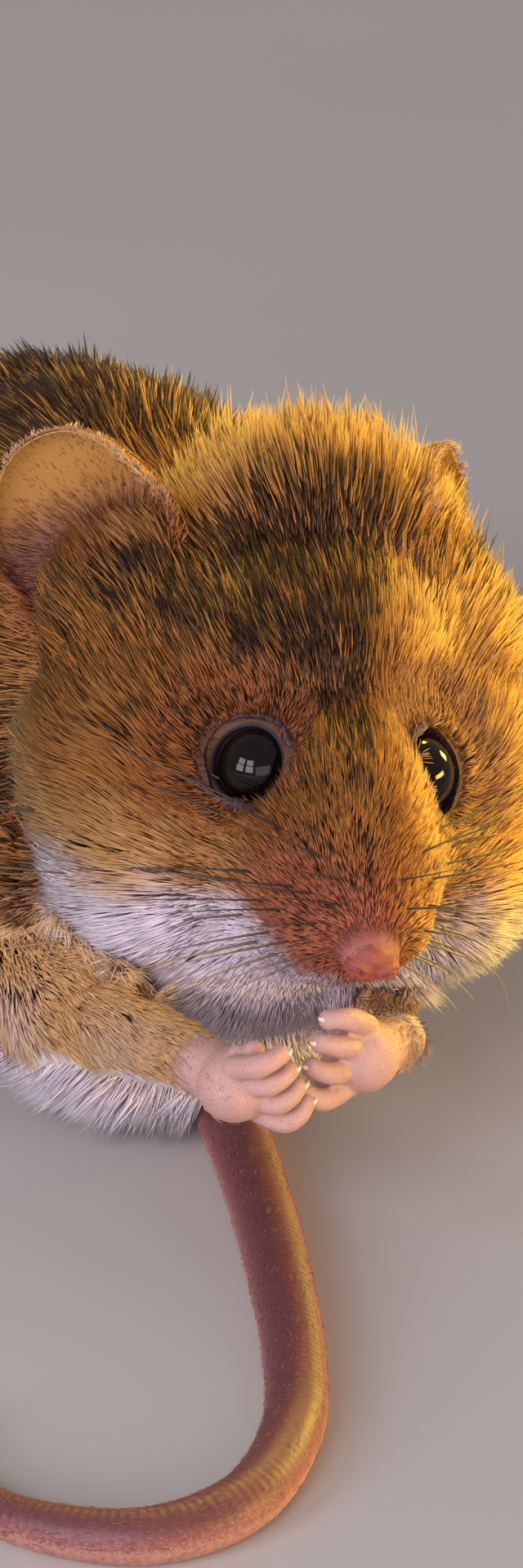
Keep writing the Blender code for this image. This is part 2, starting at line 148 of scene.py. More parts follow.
def applyAll(item):
    graph = bpy.context.evaluated_depsgraph_get()
    mesh = bpy.data.meshes.new_from_object(item.evaluated_get(graph))
    item.modifiers.clear()
    item.data = mesh
    return item


def changed(item, kind, **settings):
    modifier = item.modifiers.new(kind.title(), kind)
    for name, value in settings.items():
        setattr(modifier, name, value)
    return applyAll(item)


def joined(items, name):
    mesh = bmesh.new()
    for item in items:
        mesh.from_mesh(item.data)
        bpy.data.objects.remove(item)
    return fromBmesh(mesh, name)


def ball(centre, radii, axes=Matrix.Identity(4), fineness=4):
    mesh = bmesh.new()
    place = axes @ Matrix.Translation(Vector(centre)) @ Matrix.Diagonal((*radii, 1.0))
    bmesh.ops.create_icosphere(mesh, subdivisions=fineness, radius=1.0, matrix=place)
    return fromBmesh(mesh, "ball")


# Points of a smooth line through knots, with any values that go with each knot
def smoothLine(knots, steps):
    knots = np.array(knots, float)
    knots = np.vstack([2 * knots[0] - knots[1], knots, 2 * knots[-1] - knots[-2]])
    t = np.arange(steps)[:, None] / steps
    line = []
    for a, b, c, d in zip(knots, knots[1:], knots[2:], knots[3:]):
        line.append(0.5 * (2 * b + (c - a) * t + (2 * a - 5 * b + 4 * c - d) * t**2
                           + (3 * b - 3 * c + d - a) * t**3))
    return np.vstack([*line, knots[-2][None]])


# Quads between rings of points, given as rows of numbers, each ring closed
def ringQuads(at):
    turned = np.roll(at, -1, axis=1)
    return np.stack([at[:-1], at[1:], turned[1:], turned[:-1]], -1).reshape(-1, 4)


# A round closed tube along a line, wide as the radii say
def tube(name, line, radii, sides=16):
    line = np.asarray(line, float)
    radii = np.asarray(radii, float)
    ahead = unit(np.gradient(line, axis=0))
    side = unit(np.cross(ahead[0], (0.0, 0.3, 1.0)))
    rings = []
    for index, (centre, way) in enumerate(zip(line, ahead)):
        side = unit(side - way * np.dot(side, way))
        other = np.cross(way, side)
        angle = np.arange(sides)[:, None] * 2 * pi / sides
        rings.append(centre + radii[index] * (np.cos(angle) * side + np.sin(angle) * other))
    count = len(line)
    ends = line[:1] - ahead[:1] * radii[0] * 0.4, line[-1:] + ahead[-1:] * radii[-1] * 0.4
    points = np.vstack([*rings, *ends])
    at = np.arange(count * sides).reshape(count, sides)
    turned = np.roll(at, -1, axis=1)
    quads = ringQuads(at)
    triangles = np.vstack([quads[:, [0, 2, 1]], quads[:, [0, 3, 2]]])
    first = np.stack([np.full(sides, count * sides), turned[0], at[0]], -1)
    last = np.stack([np.full(sides, count * sides + 1), at[-1], turned[-1]], -1)
    return arrayMesh(name, points, np.vstack([triangles, first, last]))


# How near points lie to a jointed limb, how far along it, and which way it runs there
def limbPlace(points, joints):
    best = np.full(len(points), 9.0)
    share = np.zeros(len(points))
    way = np.zeros_like(points)
    for index, ((start, startRadius), (end, endRadius)) in enumerate(zip(joints, joints[1:])):
        start, end = np.array(start), np.array(end)
        run = end - start
        t = np.clip((points - start) @ run / (run @ run), 0, 1)
        gap = np.linalg.norm(points - start - t[:, None] * run, axis=1)
        ratio = gap / (startRadius + (endRadius - startRadius) * t)
        nearer = ratio < best
        best[nearer] = ratio[nearer]
        share[nearer] = (index + t[nearer]) / (len(joints) - 1)
        way[nearer] = run / np.linalg.norm(run)
    return best, share, way


def massRatio(points, masses, side):
    ratios = [np.linalg.norm((points - np.array(onSide(centre, side))) / np.array(radii), axis=1)
              for centre, radii in masses]
    return np.min(ratios, axis=0)


# Smooth noise about 0, for borders and lie that wander as in a real coat
def wander(points, scale, seed):
    angle = np.random.default_rng(seed).uniform(0, 2 * pi, 12).reshape(4, 3)
    total = 0
    for index, (a, b, c) in enumerate(angle):
        turn = np.array([cos(a), sin(b), cos(c)])
        wave = np.sin(points @ turn * scale * (1 + 0.45 * index) + angle.ravel()[index])
        total = total + wave / (1 + 0.4 * index)
    return total / 2.4


# Coat depth, length, lie and markings at points on the outside of the coat
def coatPlan(points, normals):
    q = toHead(points)
    x, y, z = q.T
    px, py, pz = points.T
    nx, ny, nz = normals.T
    ax = np.abs(x)
    headness = eased((points - throat) @ forward, -3.0, 2.0)
    body = 1 - headness
    fromEyes = [q - np.array(onSide(eyePlan["place"], side)) for side in (1, -1)]
    eyeGap = np.min([np.linalg.norm(away, axis=1) for away in fromEyes], axis=0)
    noseGap = np.linalg.norm((q - np.array((0.0, -7.4, -3.1))) / np.array((1.2, 1.0, 1.0)), axis=1)
    # depth and length on the head grow from the nose to the crown and the cheeks
    fromNose = partial(np.interp, y, [-7, -5, -3, 0, 3, 6, 9])
    topDepth = fromNose([0.14, 0.26, 0.36, 0.55, 0.95, 1.6, 2.0])
    sideDepth = fromNose([0.14, 0.28, 0.4, 0.7, 1.05, 1.35, 1.7])
    topLength = fromNose([0.5, 0.85, 1.1, 1.5, 2.1, 2.9, 3.6])
    ruff = eased(-z, 0.5, 3.0) * eased(ax, 2.5, 4.5) * faded(y, 4.0, 7.0)
    sideLength = fromNose([0.5, 0.95, 1.35, 1.9, 2.4, 2.9, 3.4]) + 0.8 * ruff
    onTop = eased(z, 1.0, 4.0)
    depth, length = mixed(sideDepth, topDepth, onTop), mixed(sideLength, topLength, onTop)
    bare = faded(noseGap, 0.95, 1.5)
    near = eased(eyeGap, 1.7, 3.2)
    rim = faded(eyeGap, 1.52, 1.62)  # no hair on the lids
    depth = depth * (0.25 + 0.75 * near) * (1 - bare)
    length = length * (0.4 + 0.6 * near)
    # on the body they are thinner near the floor
    low = faded(pz, 0.8, 4.5)
    depth, length = mixed(1.7 - 0.6 * low, depth, headness), mixed(3.5 - 1.2 * low, length, headness)
    # the lie: away from the nose and round the eyes, back and down on the body, along the limbs
    way = unit(q - np.array((0.0, -8.0, -2.6))) @ headTurn.T
    for away in fromEyes:
        gap = np.linalg.norm(away, axis=1, keepdims=True)
        way = way + unit(away) @ headTurn.T * 2.6 * np.exp(-(((gap - 1.6) / 0.9) ** 2))
    way = mixed(np.tile((0.0, 1.0, -0.62), (len(points), 1)), way, headness[:, None])
    arm, leg = np.zeros((2, len(points)))
    for side in ("right", "left"):
        ratio, share, run = limbPlace(points, armRoutes[side])
        weight = faded(ratio, 1.12, 1.5) * eased(share, 0.1, 0.35) * faded(z, -6.6, -5.8)
        alongArm = partial(np.interp, share, [0, 0.4, 0.8, 1])
        depth = mixed(depth, alongArm([1.5, 0.8, 0.4, 0.16]), weight)
        length = mixed(length, alongArm([3.2, 2.3, 1.3, 0.7]), weight)
        way = mixed(way, run, weight[:, None])
        arm = np.maximum(arm, weight)
    for side in (1, -1):
        weight = faded(massRatio(points, legMasses, side), 1.1, 1.35)
        hock = faded(pz, 1.0, 5.0)
        depth, length = mixed(depth, 1.6 - 1.05 * hock, weight), mixed(length, 3.2 - 1.8 * hock, weight)
        way = mixed(way, np.array((side * 0.1, 0.75, -0.9)), weight[:, None])
        leg = np.maximum(leg, weight)
    # dark: a stripe from nose to forehead; the near brow and forehead, partly their own dark fur and darker
    # towards the near side as painted shade; the back and the rest of the body, their own darker fur deepened
    # with painted shade
    ragged = wander(points, 1.5, 3) * 0.45 + wander(points, 4.2, 5) * 0.2
    halfStripe = np.interp(y, [-5, -3, 0, 2, 5, 9], [0.5, 0.9, 1.5, 2.6, 4.0, 4.4])
    stripe = faded(np.abs(x + 0.5) + ragged * 0.8, halfStripe * 0.4, halfStripe * 1.4)
    stripe = stripe * eased(z, -0.8, 0.8) * eased(y, -6.2, -2.6) * (1 - 0.9 * eased(y + ragged, 4.6, 7.0))
    spine = faded(np.abs(px) + ragged, 2.5, 7.5) * eased(nz, -0.1, 0.6)
    # painted shade: the body's dark share is partly its own darker fur and partly painted shade, most along
    # the spine
    dark = 0.76 * stripe * headness + (0.42 + 0.35 * spine) * body
    # painted shade: the near brow is darkened towards the near side only
    dark = np.maximum(dark, 0.26 * headness * eased(z, -2.4, 0.8) * faded(x, -1.0, 1.5))
    # the forehead is partly its own dark fur, with painted shade towards the near side only
    forehead = eased(z, 1.5, 3.5) * faded(x, -0.5, 1.0) * faded(y + ragged, 4.6, 6.4)
    dark = np.maximum(dark, 0.62 * headness * forehead)
    # pale: below the cheeks, the throat, the belly and the undersides of the limbs; less of it along the
    # border on the far side of the head, as painted golden light
    border = np.interp(ax, [0, 2, 3.2, 5, 7, 8.5, 9.5], [-4.6, -4.4, -3.2, -3.3, -3.5, -3.7, -4.6])
    headPale = faded(z + ragged * 0.6, border - 1.0, border + 0.4)
    # painted light: less pale along the border on the far side only, so it reads golden there
    headPale = headPale * (1 - 0.45 * eased(x, 0.5, 2.5) * eased(z, -6.0, -4.0))
    headPale = headPale * eased(noseGap, 1.2, 2.2) * (1 - eased(y, 1.5, 5.0) * eased(ax, 5.5, 7.5))
    flank = np.interp(py, [-10, -4, 4, 20], [7.0, 5.6, 4.4, 4.2])
    bodyPale = faded(pz + ragged, flank - 1.4, flank + 1.0)
    bodyPale = np.maximum(bodyPale, eased(-ny, 0.2, 0.7) * faded(py, -5, -2))
    armPale = 0.04 + 0.96 * faded(nz + 0.3 * np.abs(nx) + ragged * 0.2, -0.7, -0.2)
    limb = np.maximum(arm, 0.8 * leg * eased(pz, 2.0, 4.0))
    pale = mixed(mixed(bodyPale, headPale, headness), armPale, limb)
    # red on the muzzle and below the near ear, warm round the eyes, tan where the light browns are; the far
    # side of the face has less red and warm and more tan as painted golden light, and the crown top is tan
    # partly as painted light
    earFur = headness * faded(np.linalg.norm(q - np.array((-6.6, 7.6, 2.6)), axis=1), 1.8, 4.2)
    # painted light: less red on the far side of the muzzle only, so it reads golden there
    red = faded(y, -5.6, -2.9) * headness * faded(z, -1.5, 0.3) * (1 - 0.75 * eased(x, 0.2, 1.6))
    red = np.maximum(red * eased(z, -6.4, -5.4), 0.35 * earFur)
    dark = dark * (1 - 0.6 * earFur)
    warm = headness * np.exp(-(((eyeGap - 1.5) / 1.9) ** 2)) * 0.7 + 0.3 * headness * faded(y, 0, 5)
    # painted light: less warm on the far side only, so it reads golden there
    warm = warm * (1 - 0.7 * eased(x, 0.0, 2.0))
    warm = np.clip(warm + 0.25 * body * (1 - spine), 0, 1)
    warm = np.maximum(warm, 0.5 * arm)
    # tan: the lower cheeks in their own colour; the crown top partly its own colour, partly painted light for
    # the backlit glow
    tan = headness * np.maximum(0.9 * faded(z + ragged, -3.2, -1.0) * eased(ax, 1.8, 4.0),
                                0.8 * eased(y + ragged, 4.6, 7.5) * eased(z, 3.0, 6.0))
    shoulder = body * faded(py, -6.0, 0.0) * faded(pz, 9.0, 12.0)
    tan = np.maximum(tan, np.maximum(0.9 * arm, 0.7 * shoulder))
    # painted shade: the far side of the head behind the eye is darkened, on that side only
    farTempleShade = headness * eased(x, 1.0, 4.0) * eased(y + ragged, 2.0, 5.0) * (1 - tan)
    # painted light: tan on the far side of the face only, where the golden light falls
    tan = np.maximum(tan, 0.65 * headness * eased(x + ragged, 0.8, 3.0) * faded(y, 3.0, 6.0))
    dark = np.maximum(dark, 0.5 * farTempleShade) * (1 - 0.85 * arm) * (1 - 0.6 * tan)
    # hairs to a square millimetre: dense where they are short, thin under the body
    crowd = np.interp(length, [0.4, 0.8, 1.3, 2.0, 3.0, 3.8], [300, 240, 175, 105, 62, 42])
    under = eased(-nz, 0.1, 0.7) * body * eased(py, -7.0, -3.0)
    crowd = crowd * (1 - 0.8 * under) * (1 - 0.35 * headness * (length < 1.0))
    crowd = crowd * (1 + 0.8 * headness * eased(y, 0.0, 4.0) + 0.6 * arm)
    bib = eased(-ny, 0.2, 0.7) * body * faded(py, -8.0, -5.0)  # the front of the belly, above the tail
    crowd = crowd * (1 + 1.2 * bib) * (1 - bare) * (1 - rim)
    wisp, stout = headness * onTop * eased(y, 3.0, 6.0), (1 + 0.35 * body) * (1 - 0.35 * pale * body)
    return {"depth": depth, "length": length, "way": way, "dark": dark, "pale": np.clip(pale, 0, 1),
            "red": red, "warm": warm, "tan": tan, "bare": bare, "crowd": crowd, "rim": rim,
            "headness": headness, "wisp": wisp, "stout": stout}


def neighbourMean(values, edges, count):
    total = np.zeros_like(values)
    number = np.bincount(edges.ravel(), minlength=count)
    for axis in range(3):
        total[:, axis] = (np.bincount(edges[:, 0], values[edges[:, 1], axis], count)
                          + np.bincount(edges[:, 1], values[edges[:, 0], axis], count))
    return total / number[:, None]


# The furred skin: the solids' head, neck, body and limbs made one, then drawn in by the coat's depth
skinPlan = {"grow": 0.3, "voxel": 0.2, "steps": 8}


# Drops every closed surface but the one with the most faces
def keepLargest(item):
    mesh = item.data
    edges = meshArray(mesh.edges, "vertices", 2, np.int32)
    label = np.arange(len(mesh.vertices))
    while True:
        low = np.minimum(label[edges[:, 0]], label[edges[:, 1]])
        new = label.copy()
        np.minimum.at(new, edges[:, 0], low)
        np.minimum.at(new, edges[:, 1], low)
        new = new[new]
        if (new == label).all():
            break
        label = new
    biggest = np.bincount(label).argmax()
    if (label != biggest).any():
        bm = bmesh.new()
        bm.from_mesh(mesh)
        bm.verts.ensure_lookup_table()
        bmesh.ops.delete(bm, geom=[bm.verts[i] for i in np.nonzero(label != biggest)[0]], context="VERTS")
        bm.to_mesh(mesh)
        bm.free()
    return item


def makeBodySkin():
    pieces = []
    for name in ("head", "neck", "torso", "foreleg_right", "foreleg_left", "hindleg_right", "hindleg_left"):
        mesh = bmesh.new()
        mesh.from_mesh(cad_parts[name].data)
        bmesh.ops.transform(mesh, matrix=toFrame.inverted(), verts=mesh.verts)
        bmesh.ops.remove_doubles(mesh, verts=mesh.verts, dist=0.002)
        piece = fromBmesh(mesh, name + "Copy")
        pieces.append(changed(piece, "DISPLACE", strength=skinPlan["grow"], mid_level=0.0))
    body = changed(joined(pieces, "bodySkin"), "REMESH", mode="VOXEL", voxel_size=skinPlan["voxel"])
    keepLargest(body)
    mesh = body.data
    edges = meshArray(mesh.edges, "vertices", 2, np.int32)
    points = pointsOf(body)

    def relax(share, rounds):
        for _ in range(rounds):
            points[:] += share * (neighbourMean(points, edges, len(points)) - points)
        setPoints(body, points)
        mesh.update()

    relax(0.5, 3)
    plan = coatPlan(points, pointsOf(body, "normal"))
    inward = (plan["depth"] + skinPlan["grow"]) / skinPlan["steps"]
    for _ in range(skinPlan["steps"]):
        points -= pointsOf(body, "normal") * inward[:, None]
        relax(0.5 * eased(plan["depth"], 0.05, 0.5)[:, None], 2)
    points[:, 2] = np.maximum(points[:, 2], 0.03)
    setPoints(body, points)
    mesh.update()
    for name in ("dark", "pale", "red", "warm", "tan", "bare", "rim"):
        setMark(mesh, name, plan[name])
    mesh.shade_smooth()
    print("body skin", len(points), "points")
    return body, plan


bodySkin, bodyPlan = makeBodySkin()

# The coat: tapered hairs, drawn together into locks, that reach from the skin to the solids' outline
coatLooks = {"seed": 41, "perLock": 13, "gather": 0.42, "turn": 0.12, "guardShare": 0.05,
             "thin": 0.02, "thicken": 0.0095}


# Hairs on a mesh: a root on the skin, a bend and a tip, with what the material needs to colour them
def sampleRoots(item, plan, seed):
    random = np.random.default_rng(seed)
    mesh = item.data
    mesh.calc_loop_triangles()
    triangles = meshArray(mesh.loop_triangles, "vertices", 3, np.int32)
    points, normals = pointsOf(item), pointsOf(item, "normal")
    a, b, c = points[triangles].transpose(1, 0, 2)
    area = np.linalg.norm(np.cross(b - a, c - a), axis=1) / 2
    wanted = area * plan["crowd"][triangles].mean(axis=1)
    chosen = random.choice(len(triangles), int(wanted.sum()), p=wanted / wanted.sum())
    u, v = random.uniform(size=(2, len(chosen)))
    flip = u + v > 1
    u[flip], v[flip] = 1 - u[flip], 1 - v[flip]
    shares = np.stack([1 - u - v, u, v], 1)
    corner = triangles[chosen]

    def at(values):
        weights = shares if values.ndim == 1 else shares[..., None]
        return (values[corner] * weights).sum(axis=1)

    roots = {name: at(values) for name, values in plan.items()}
    roots["place"] = at(points)
    roots["normal"] = unit(at(normals))
    roots["random"] = random
    return roots


def growHairs(roots):
    random = roots["random"]
    place, normal = roots["place"], roots["normal"]
    count = len(place)
    way = unit(roots["way"] - normal * (roots["way"] * normal).sum(axis=1)[:, None])
    side = np.cross(normal, way)
    turn = (wander(place, 0.9, 8) * 0.3 + random.normal(0, coatLooks["turn"], count))[:, None]
    way = unit(way + side * turn)
    side = np.cross(normal, way)
    guard = random.uniform(size=count) < coatLooks["guardShare"] * (1 + 1.5 * roots["wisp"])
    length = roots["length"] * random.uniform(0.72, 1.12, count)
    length = length * np.where(guard, 1.14 + 0.08 * roots["wisp"], 1.0)
    rise = np.clip(roots["depth"] / roots["length"], 0.12, 0.85)
    rise = np.clip(rise * random.uniform(0.75, 1.2, count), 0.1, 0.92)
    flat = np.sqrt(1 - rise**2)
    tip = place + (way * flat[:, None] + normal * rise[:, None]) * length[:, None]
    lift = normal * np.minimum(rise * 0.72, 0.9)[:, None]
    bend = place + (way * flat[:, None] * 0.5 + lift) * length[:, None]
    # locks: each tip is drawn towards that of the nearest leading hair
    leaders = random.choice(count, max(count // coatLooks["perLock"], 1), replace=False)
    tree = KDTree(len(leaders))
    for index, leader in enumerate(leaders):
        tree.insert(place[leader], index)
    tree.balance()
    nearest = leaders[np.fromiter((tree.find(spot)[1] for spot in place), int, count)]
    gather = (coatLooks["gather"] * random.uniform(0.4, 1.3, count))[:, None]
    tip += gather * (tip[nearest] + 0.2 * (place - place[nearest]) - tip)
    bend += gather * 0.3 * (bend[nearest] + 0.6 * (place - place[nearest]) - bend)
    radius = coatLooks["thin"] + coatLooks["thicken"] * roots["length"]
    radius = radius * roots["stout"] * random.uniform(0.8, 1.2, count)
    ring = [bend + (side * cos(radians(angle)) + normal * (0.7 * sin(radians(angle)))) * radius[:, None]
            for angle in (90, 210, 330)]
    points = np.stack([place - normal * 0.08, *ring, tip], 1)
    points[..., 2] = np.maximum(points[..., 2], 0.012)
    tone = random.uniform(size=count)
    return points, 0.62 * tone + 0.38 * random.uniform(size=count)[nearest]


# A hair is a closed spindle: a root point, three points round its bend, and a tip
hairFaces = np.array([(0, 2, 1), (0, 3, 2), (0, 1, 3), (1, 2, 4), (2, 3, 4), (3, 1, 4)])
hairUv = np.array([(0.0, -0.5), (0.0, 0.0), (0.4, 0.05), (-0.4, 0.05), (0.0, 0.5)])
patchSize = 0.003  # of a hair on the unwrap
unwrapFaces = 9000


# A coarse copy of the skin, and the face of it that each root lies on
def unwrapPlaces(skin, places, faceCount):
    plain = newObject("plain", skin.data.copy())
    changed(plain, "DECIMATE", ratio=faceCount / len(skin.data.polygons) / 2)
    changed(plain, "TRIANGULATE")
    points = pointsOf(plain)
    faces = meshArray(plain.data.polygons, "vertices", 3, np.int32)
    tree = BVHTree.FromPolygons([Vector(p) for p in points], faces.tolist())
    nearest = np.fromiter((tree.find_nearest(Vector(spot))[2] for spot in places), int, len(places))
    bpy.data.objects.remove(plain)
    return points, faces, nearest


# Where each root lies on an unwrap of those faces
def pieceUnwrap(points, faces, nearest, places):
    used, index = np.unique(nearest, return_inverse=True)
    item = arrayMesh("unwrap", points, faces[used])
    bpy.ops.object.select_all(action="DESELECT")
    item.select_set(True)
    bpy.context.view_layer.objects.active = item
    item.data.uv_layers.new(name="unwrap")
    bpy.ops.object.mode_set(mode="EDIT")
    bpy.ops.mesh.select_all(action="SELECT")
    bpy.ops.uv.smart_project(angle_limit=radians(70), island_margin=0.004)
    bpy.ops.object.mode_set(mode="OBJECT")
    uv = meshArray(item.data.uv_layers["unwrap"].data, "uv", 2).reshape(-1, 3, 2)
    bpy.data.objects.remove(item)
    a, b, c = points[faces[used][index]].transpose(1, 0, 2)
    ab, ac, ap = b - a, c - a, places - a
    d00, d01, d11 = (ab * ab).sum(1), (ab * ac).sum(1), (ac * ac).sum(1)
    d20, d21 = (ap * ab).sum(1), (ap * ac).sum(1)
    scale = np.maximum(d00 * d11 - d01 * d01, 1e-12)
    v = np.clip((d11 * d20 - d01 * d21) / scale, 0, 1)
    w = np.clip((d00 * d21 - d01 * d20) / scale, 0, 1)
    corner = uv[index]
    return corner[:, 0] * (1 - v - w)[:, None] + corner[:, 1] * v[:, None] + corner[:, 2] * w[:, None]


def layPatches(mesh, patch, corners):
    layer = mesh.uv_layers.new(name="OFBake")
    layer.data.foreach_set("uv", patch.reshape(-1, 2)[corners.ravel()].astype(np.float32).ravel())


def hairObject(name, points, marks, uv):
    faces = (hairFaces[None] + np.arange(len(points))[:, None, None] * len(hairUv)).reshape(-1, 3)
    item = arrayMesh(name, points.reshape(-1, 3), faces)
    for mark, values in marks.items():
        setMark(item.data, mark, np.repeat(values, len(hairUv)))
    setMark(item.data, "along", np.tile([0.0, 0.45, 0.45, 0.45, 1.0], len(points)))
    layPatches(item.data, uv[:, None] + hairUv[None] * patchSize, faces)
    return item


# Hairs on one part, split into named zones, each on its own unwrap
def makeHairs(item, plan, seed, nameZones, faceCount):
    roots = sampleRoots(item, plan, seed)
    points, tone = growHairs(roots)
    place = roots["place"]
    zones = nameZones(place, roots)
    plainPoints, plainFaces, nearest = unwrapPlaces(item, place, faceCount)
    pieces = []
    for zone in np.unique(zones):
        own = zones == zone
        uv = pieceUnwrap(plainPoints, plainFaces, nearest[own], place[own])
        marks = {name: roots[name][own] for name in ("dark", "pale", "red", "warm", "tan")}
        marks["tone"] = tone[own]
        pieces.append(hairObject(str(zone), points[own], marks, uv))
        print(zone, own.sum(), "hairs,", own.sum() * len(hairFaces), "triangles")
    return pieces


def coatZones(place, roots):
    q = toHead(place)
    head = roots["headness"] > 0.5
    face = head & (q[:, 2] <= 2.2)
    px, py, pz = place.T
    zones = np.full(len(place), "coatBack", dtype="<U20")
    for name, own in (("coatFlankRight", ~head & (px < -4.5)), ("coatFlankLeft", ~head & (px > 4.5)),
                      ("coatShoulders", ~head & (py < 3)), ("coatBelly", ~head & (pz < 4.5)),
                      ("coatRump", ~head & (pz < 4.5) & (py > 8)), ("coatCrown", head & ~face),
                      ("coatFaceRight", face & (q[:, 0] < 0)), ("coatFaceLeft", face & (q[:, 0] >= 0)),
                      ("coatMuzzle", face & (q[:, 1] < -2.4))):
        zones[own] = name
    return zones


coats = makeHairs(bodySkin, bodyPlan, coatLooks["seed"], coatZones, unwrapFaces)


# What is fused into the skin. Each part's faces carry the number of their finish.
finishes = ["furredSkin", "earSkin", "pinkSkin", "tailSkin", "lidSkin"]
hairs = []


def numbered(item, finish, **marks):
    mesh = item.data
    mesh.materials.clear()
    for name in finishes:
        mesh.materials.append(bpy.data.materials.get(name) or bpy.data.materials.new(name))
    mesh.polygons.foreach_set("material_index", np.full(len(mesh.polygons), finishes.index(finish), np.int32))
    for name, values in marks.items():
        setMark(mesh, name, np.broadcast_to(values, len(mesh.vertices)))
    return item


def remeshed(items, name, voxel):
    item = changed(joined(items, name), "REMESH", mode="VOXEL", voxel_size=voxel)
    return changed(item, "SMOOTH", iterations=3)


def aboveFloor(item):
    points = pointsOf(item)
    points[:, 2] = np.maximum(points[:, 2], 0.0)
    setPoints(item, points)


def eyeAxes(side):
    facing = headAxes.to_3x3() @ onSide(eyePlan["facing"], side)
    turn = facing.to_track_quat("Z", "Y").to_matrix().to_4x4()
    return Matrix.Translation(headAxes @ onSide(eyePlan["place"], side)) @ turn


# Short sparse hairs on a bare part, from a few numbers or arrays
def shortHairs(item, name, seed, way, **settings):
    count = len(item.data.vertices)
    settings = {"dark": 0.2, "pale": 0.4, "red": 0.0, "warm": 0.3, "tan": 0.0, "headness": 0.0, "wisp": 0.0,
                "stout": 0.6, **settings}
    plan = {key: np.broadcast_to(np.asarray(value, float), count) for key, value in settings.items()}
    plan["way"] = np.broadcast_to(way, (count, 3))
    return makeHairs(item, plan, seed, lambda place, roots: np.full(len(place), name), 900)[0]


def surfaceTree(item):
    item.data.calc_loop_triangles()
    faces = meshArray(item.data.loop_triangles, "vertices", 3, np.int32)
    return BVHTree.FromPolygons([Vector(p) for p in pointsOf(item)], faces.tolist())


# The lids: a band all round that comes down from the face and closes on the eye with a thin bare edge
def makeLid(side):
    axes = eyeAxes(side)
    tree = surfaceTree(bodySkin)
    inner, outer = eyePlan["lidInner"], eyePlan["lidOuter"]
    around, sides = 72, 16
    angles = np.arange(around) * 2 * pi / around
    heights = []
    for angle in angles:
        start = axes @ Vector((outer[0] * cos(angle), outer[0] * sin(angle), 5.0))
        hit = tree.ray_cast(start, axes.to_3x3() @ Vector((0, 0, -1)))[0]
        heights.append((axes.inverted() @ hit).z + outer[1])
    for _ in range(8):
        heights = (np.roll(heights, 1) + 2 * np.array(heights) + np.roll(heights, -1)) / 4
    turn = np.arange(sides) * 2 * pi / sides
    across, up = 0.5 + 0.5 * np.cos(turn), eyePlan["lidThickness"] * np.sin(turn)
    rings = []
    for angle, height in zip(angles, heights):
        run = unit(np.array((outer[0] - inner[0], height - inner[1])))
        wide = inner[0] + (outer[0] - inner[0]) * across - run[1] * up
        high = inner[1] + (height - inner[1]) * across + run[0] * up
        rings.append(np.stack([wide * cos(angle), wide * sin(angle), high], 1))
    at = np.arange(around * sides).reshape(around, sides)
    ahead, turned = np.roll(at, -1, axis=0), np.roll(at, -1, axis=1)
    both = np.roll(ahead, -1, axis=1)
    lid = arrayMesh("lid", np.vstack(rings), np.stack([at, turned, both, ahead], -1).reshape(-1, 4))
    lid.data.transform(axes)
    edge = np.tile(across, around)
    numbered(lid, "lidSkin", edge=edge)
    way = unit(pointsOf(lid) - np.array(axes.translation))
    hairs.append(shortHairs(lid, "lidHair" + ("Left" if side > 0 else "Right"), 90 + side, way, length=0.45,
                            depth=0.12, crowd=190 * eased(edge, 0.28, 0.5), dark=0.4, pale=0.0, warm=0.7,
                            stout=0.8))
    return lid


# The bare nose: two wings with a groove between them, and comma-shaped nostrils
nosePlan = {"wing": ((0.42, -7.2, -3.2), (0.54, 0.46, 0.46)), "top": ((0.0, -6.95, -2.85), (0.82, 0.66, 0.5)),
            "foot": ((0.0, -7.2, -3.48), (0.28, 0.28, 0.32)), "core": ((0.0, -6.35, -3.25), (0.9, 1.0, 0.72)),
            "nostril": ((0.33, -7.9, -3.36), (0.35, -7.58, -3.33), (0.52, -7.62, -3.2), (0.74, -7.52, -3.14),
                        (0.92, -7.32, -3.2))}


def makeNose():
    pieces = [ball(*nosePlan[name], headAxes) for name in ("top", "foot", "core")]
    for side in (1, -1):
        pieces.append(ball(onSide(nosePlan["wing"][0], side), nosePlan["wing"][1], headAxes))
    nose = remeshed(pieces, "nose", 0.055)
    for side in (1, -1):
        line = [headAxes @ onSide(p, side) for p in nosePlan["nostril"]]
        cutter = tube("nostril", smoothLine(line, 5), np.linspace(0.15, 0.08, 21), 12)
        nose = fused(nose, cutter, "DIFFERENCE")
    return numbered(nose, "pinkSkin", wet=1.0)


def fused(item, other, operation="UNION"):
    changed(item, "BOOLEAN", object=other, operation=operation, solver="MANIFOLD")
    bpy.data.objects.remove(other)
    return item


# A thin cupped ear: half a bowl open to the front and side, narrow where it enters the head
earPlan = {1: ((5.0, 7.8, 1.4), (6.4, 11.3, 6.7)), -1: ((6.0, 7.6, 0.9), (9.1, 10.9, 6.2)),
           "opening": (0.80, -0.60, 0.05), "width": 7.8, "depth": 1.9, "thickness": 0.2, "root": 1.9}


def earAxes(side):
    base, tip = (headAxes @ onSide(place, side) for place in earPlan[side])
    rise = (tip - base).normalized()
    opening = headAxes.to_3x3() @ onSide(earPlan["opening"], side)
    opening = (opening - rise * opening.dot(rise)).normalized()
    axes = Matrix((opening.cross(rise), opening, rise)).transposed().to_4x4()
    return Matrix.Translation(base) @ axes, (tip - base).length


def earSheet(share, angle, height, inset):
    inset = inset * (1 - 0.72 * share**8)
    up = np.sin(angle)
    low = np.clip(-up, 0, 1)
    reach = np.sin(share * pi / 2)
    wide = (earPlan["width"] / 2 - inset * 0.6) * reach * np.cos(angle) * (1 - 0.34 * low**1.5)
    tall = height * 0.44 + reach * up * (height * 0.56 - inset * 0.6 + earPlan["root"] * low)
    deep = -(earPlan["depth"] - inset) * np.sqrt(np.maximum(1 - reach**2, 0)) ** 0.9
    deep = deep + 0.16 * share**4 * np.sin(3 * angle + 0.6) + 0.1 * share**3 * np.cos(5 * angle)
    fold = np.exp(-(((share - 0.62) / 0.1) ** 2)) * np.exp(-(((angle - 4.2) / 0.9) ** 2))
    deep = deep + 0.22 * fold * (inset > 0)
    return np.stack([wide, deep, tall], -1)


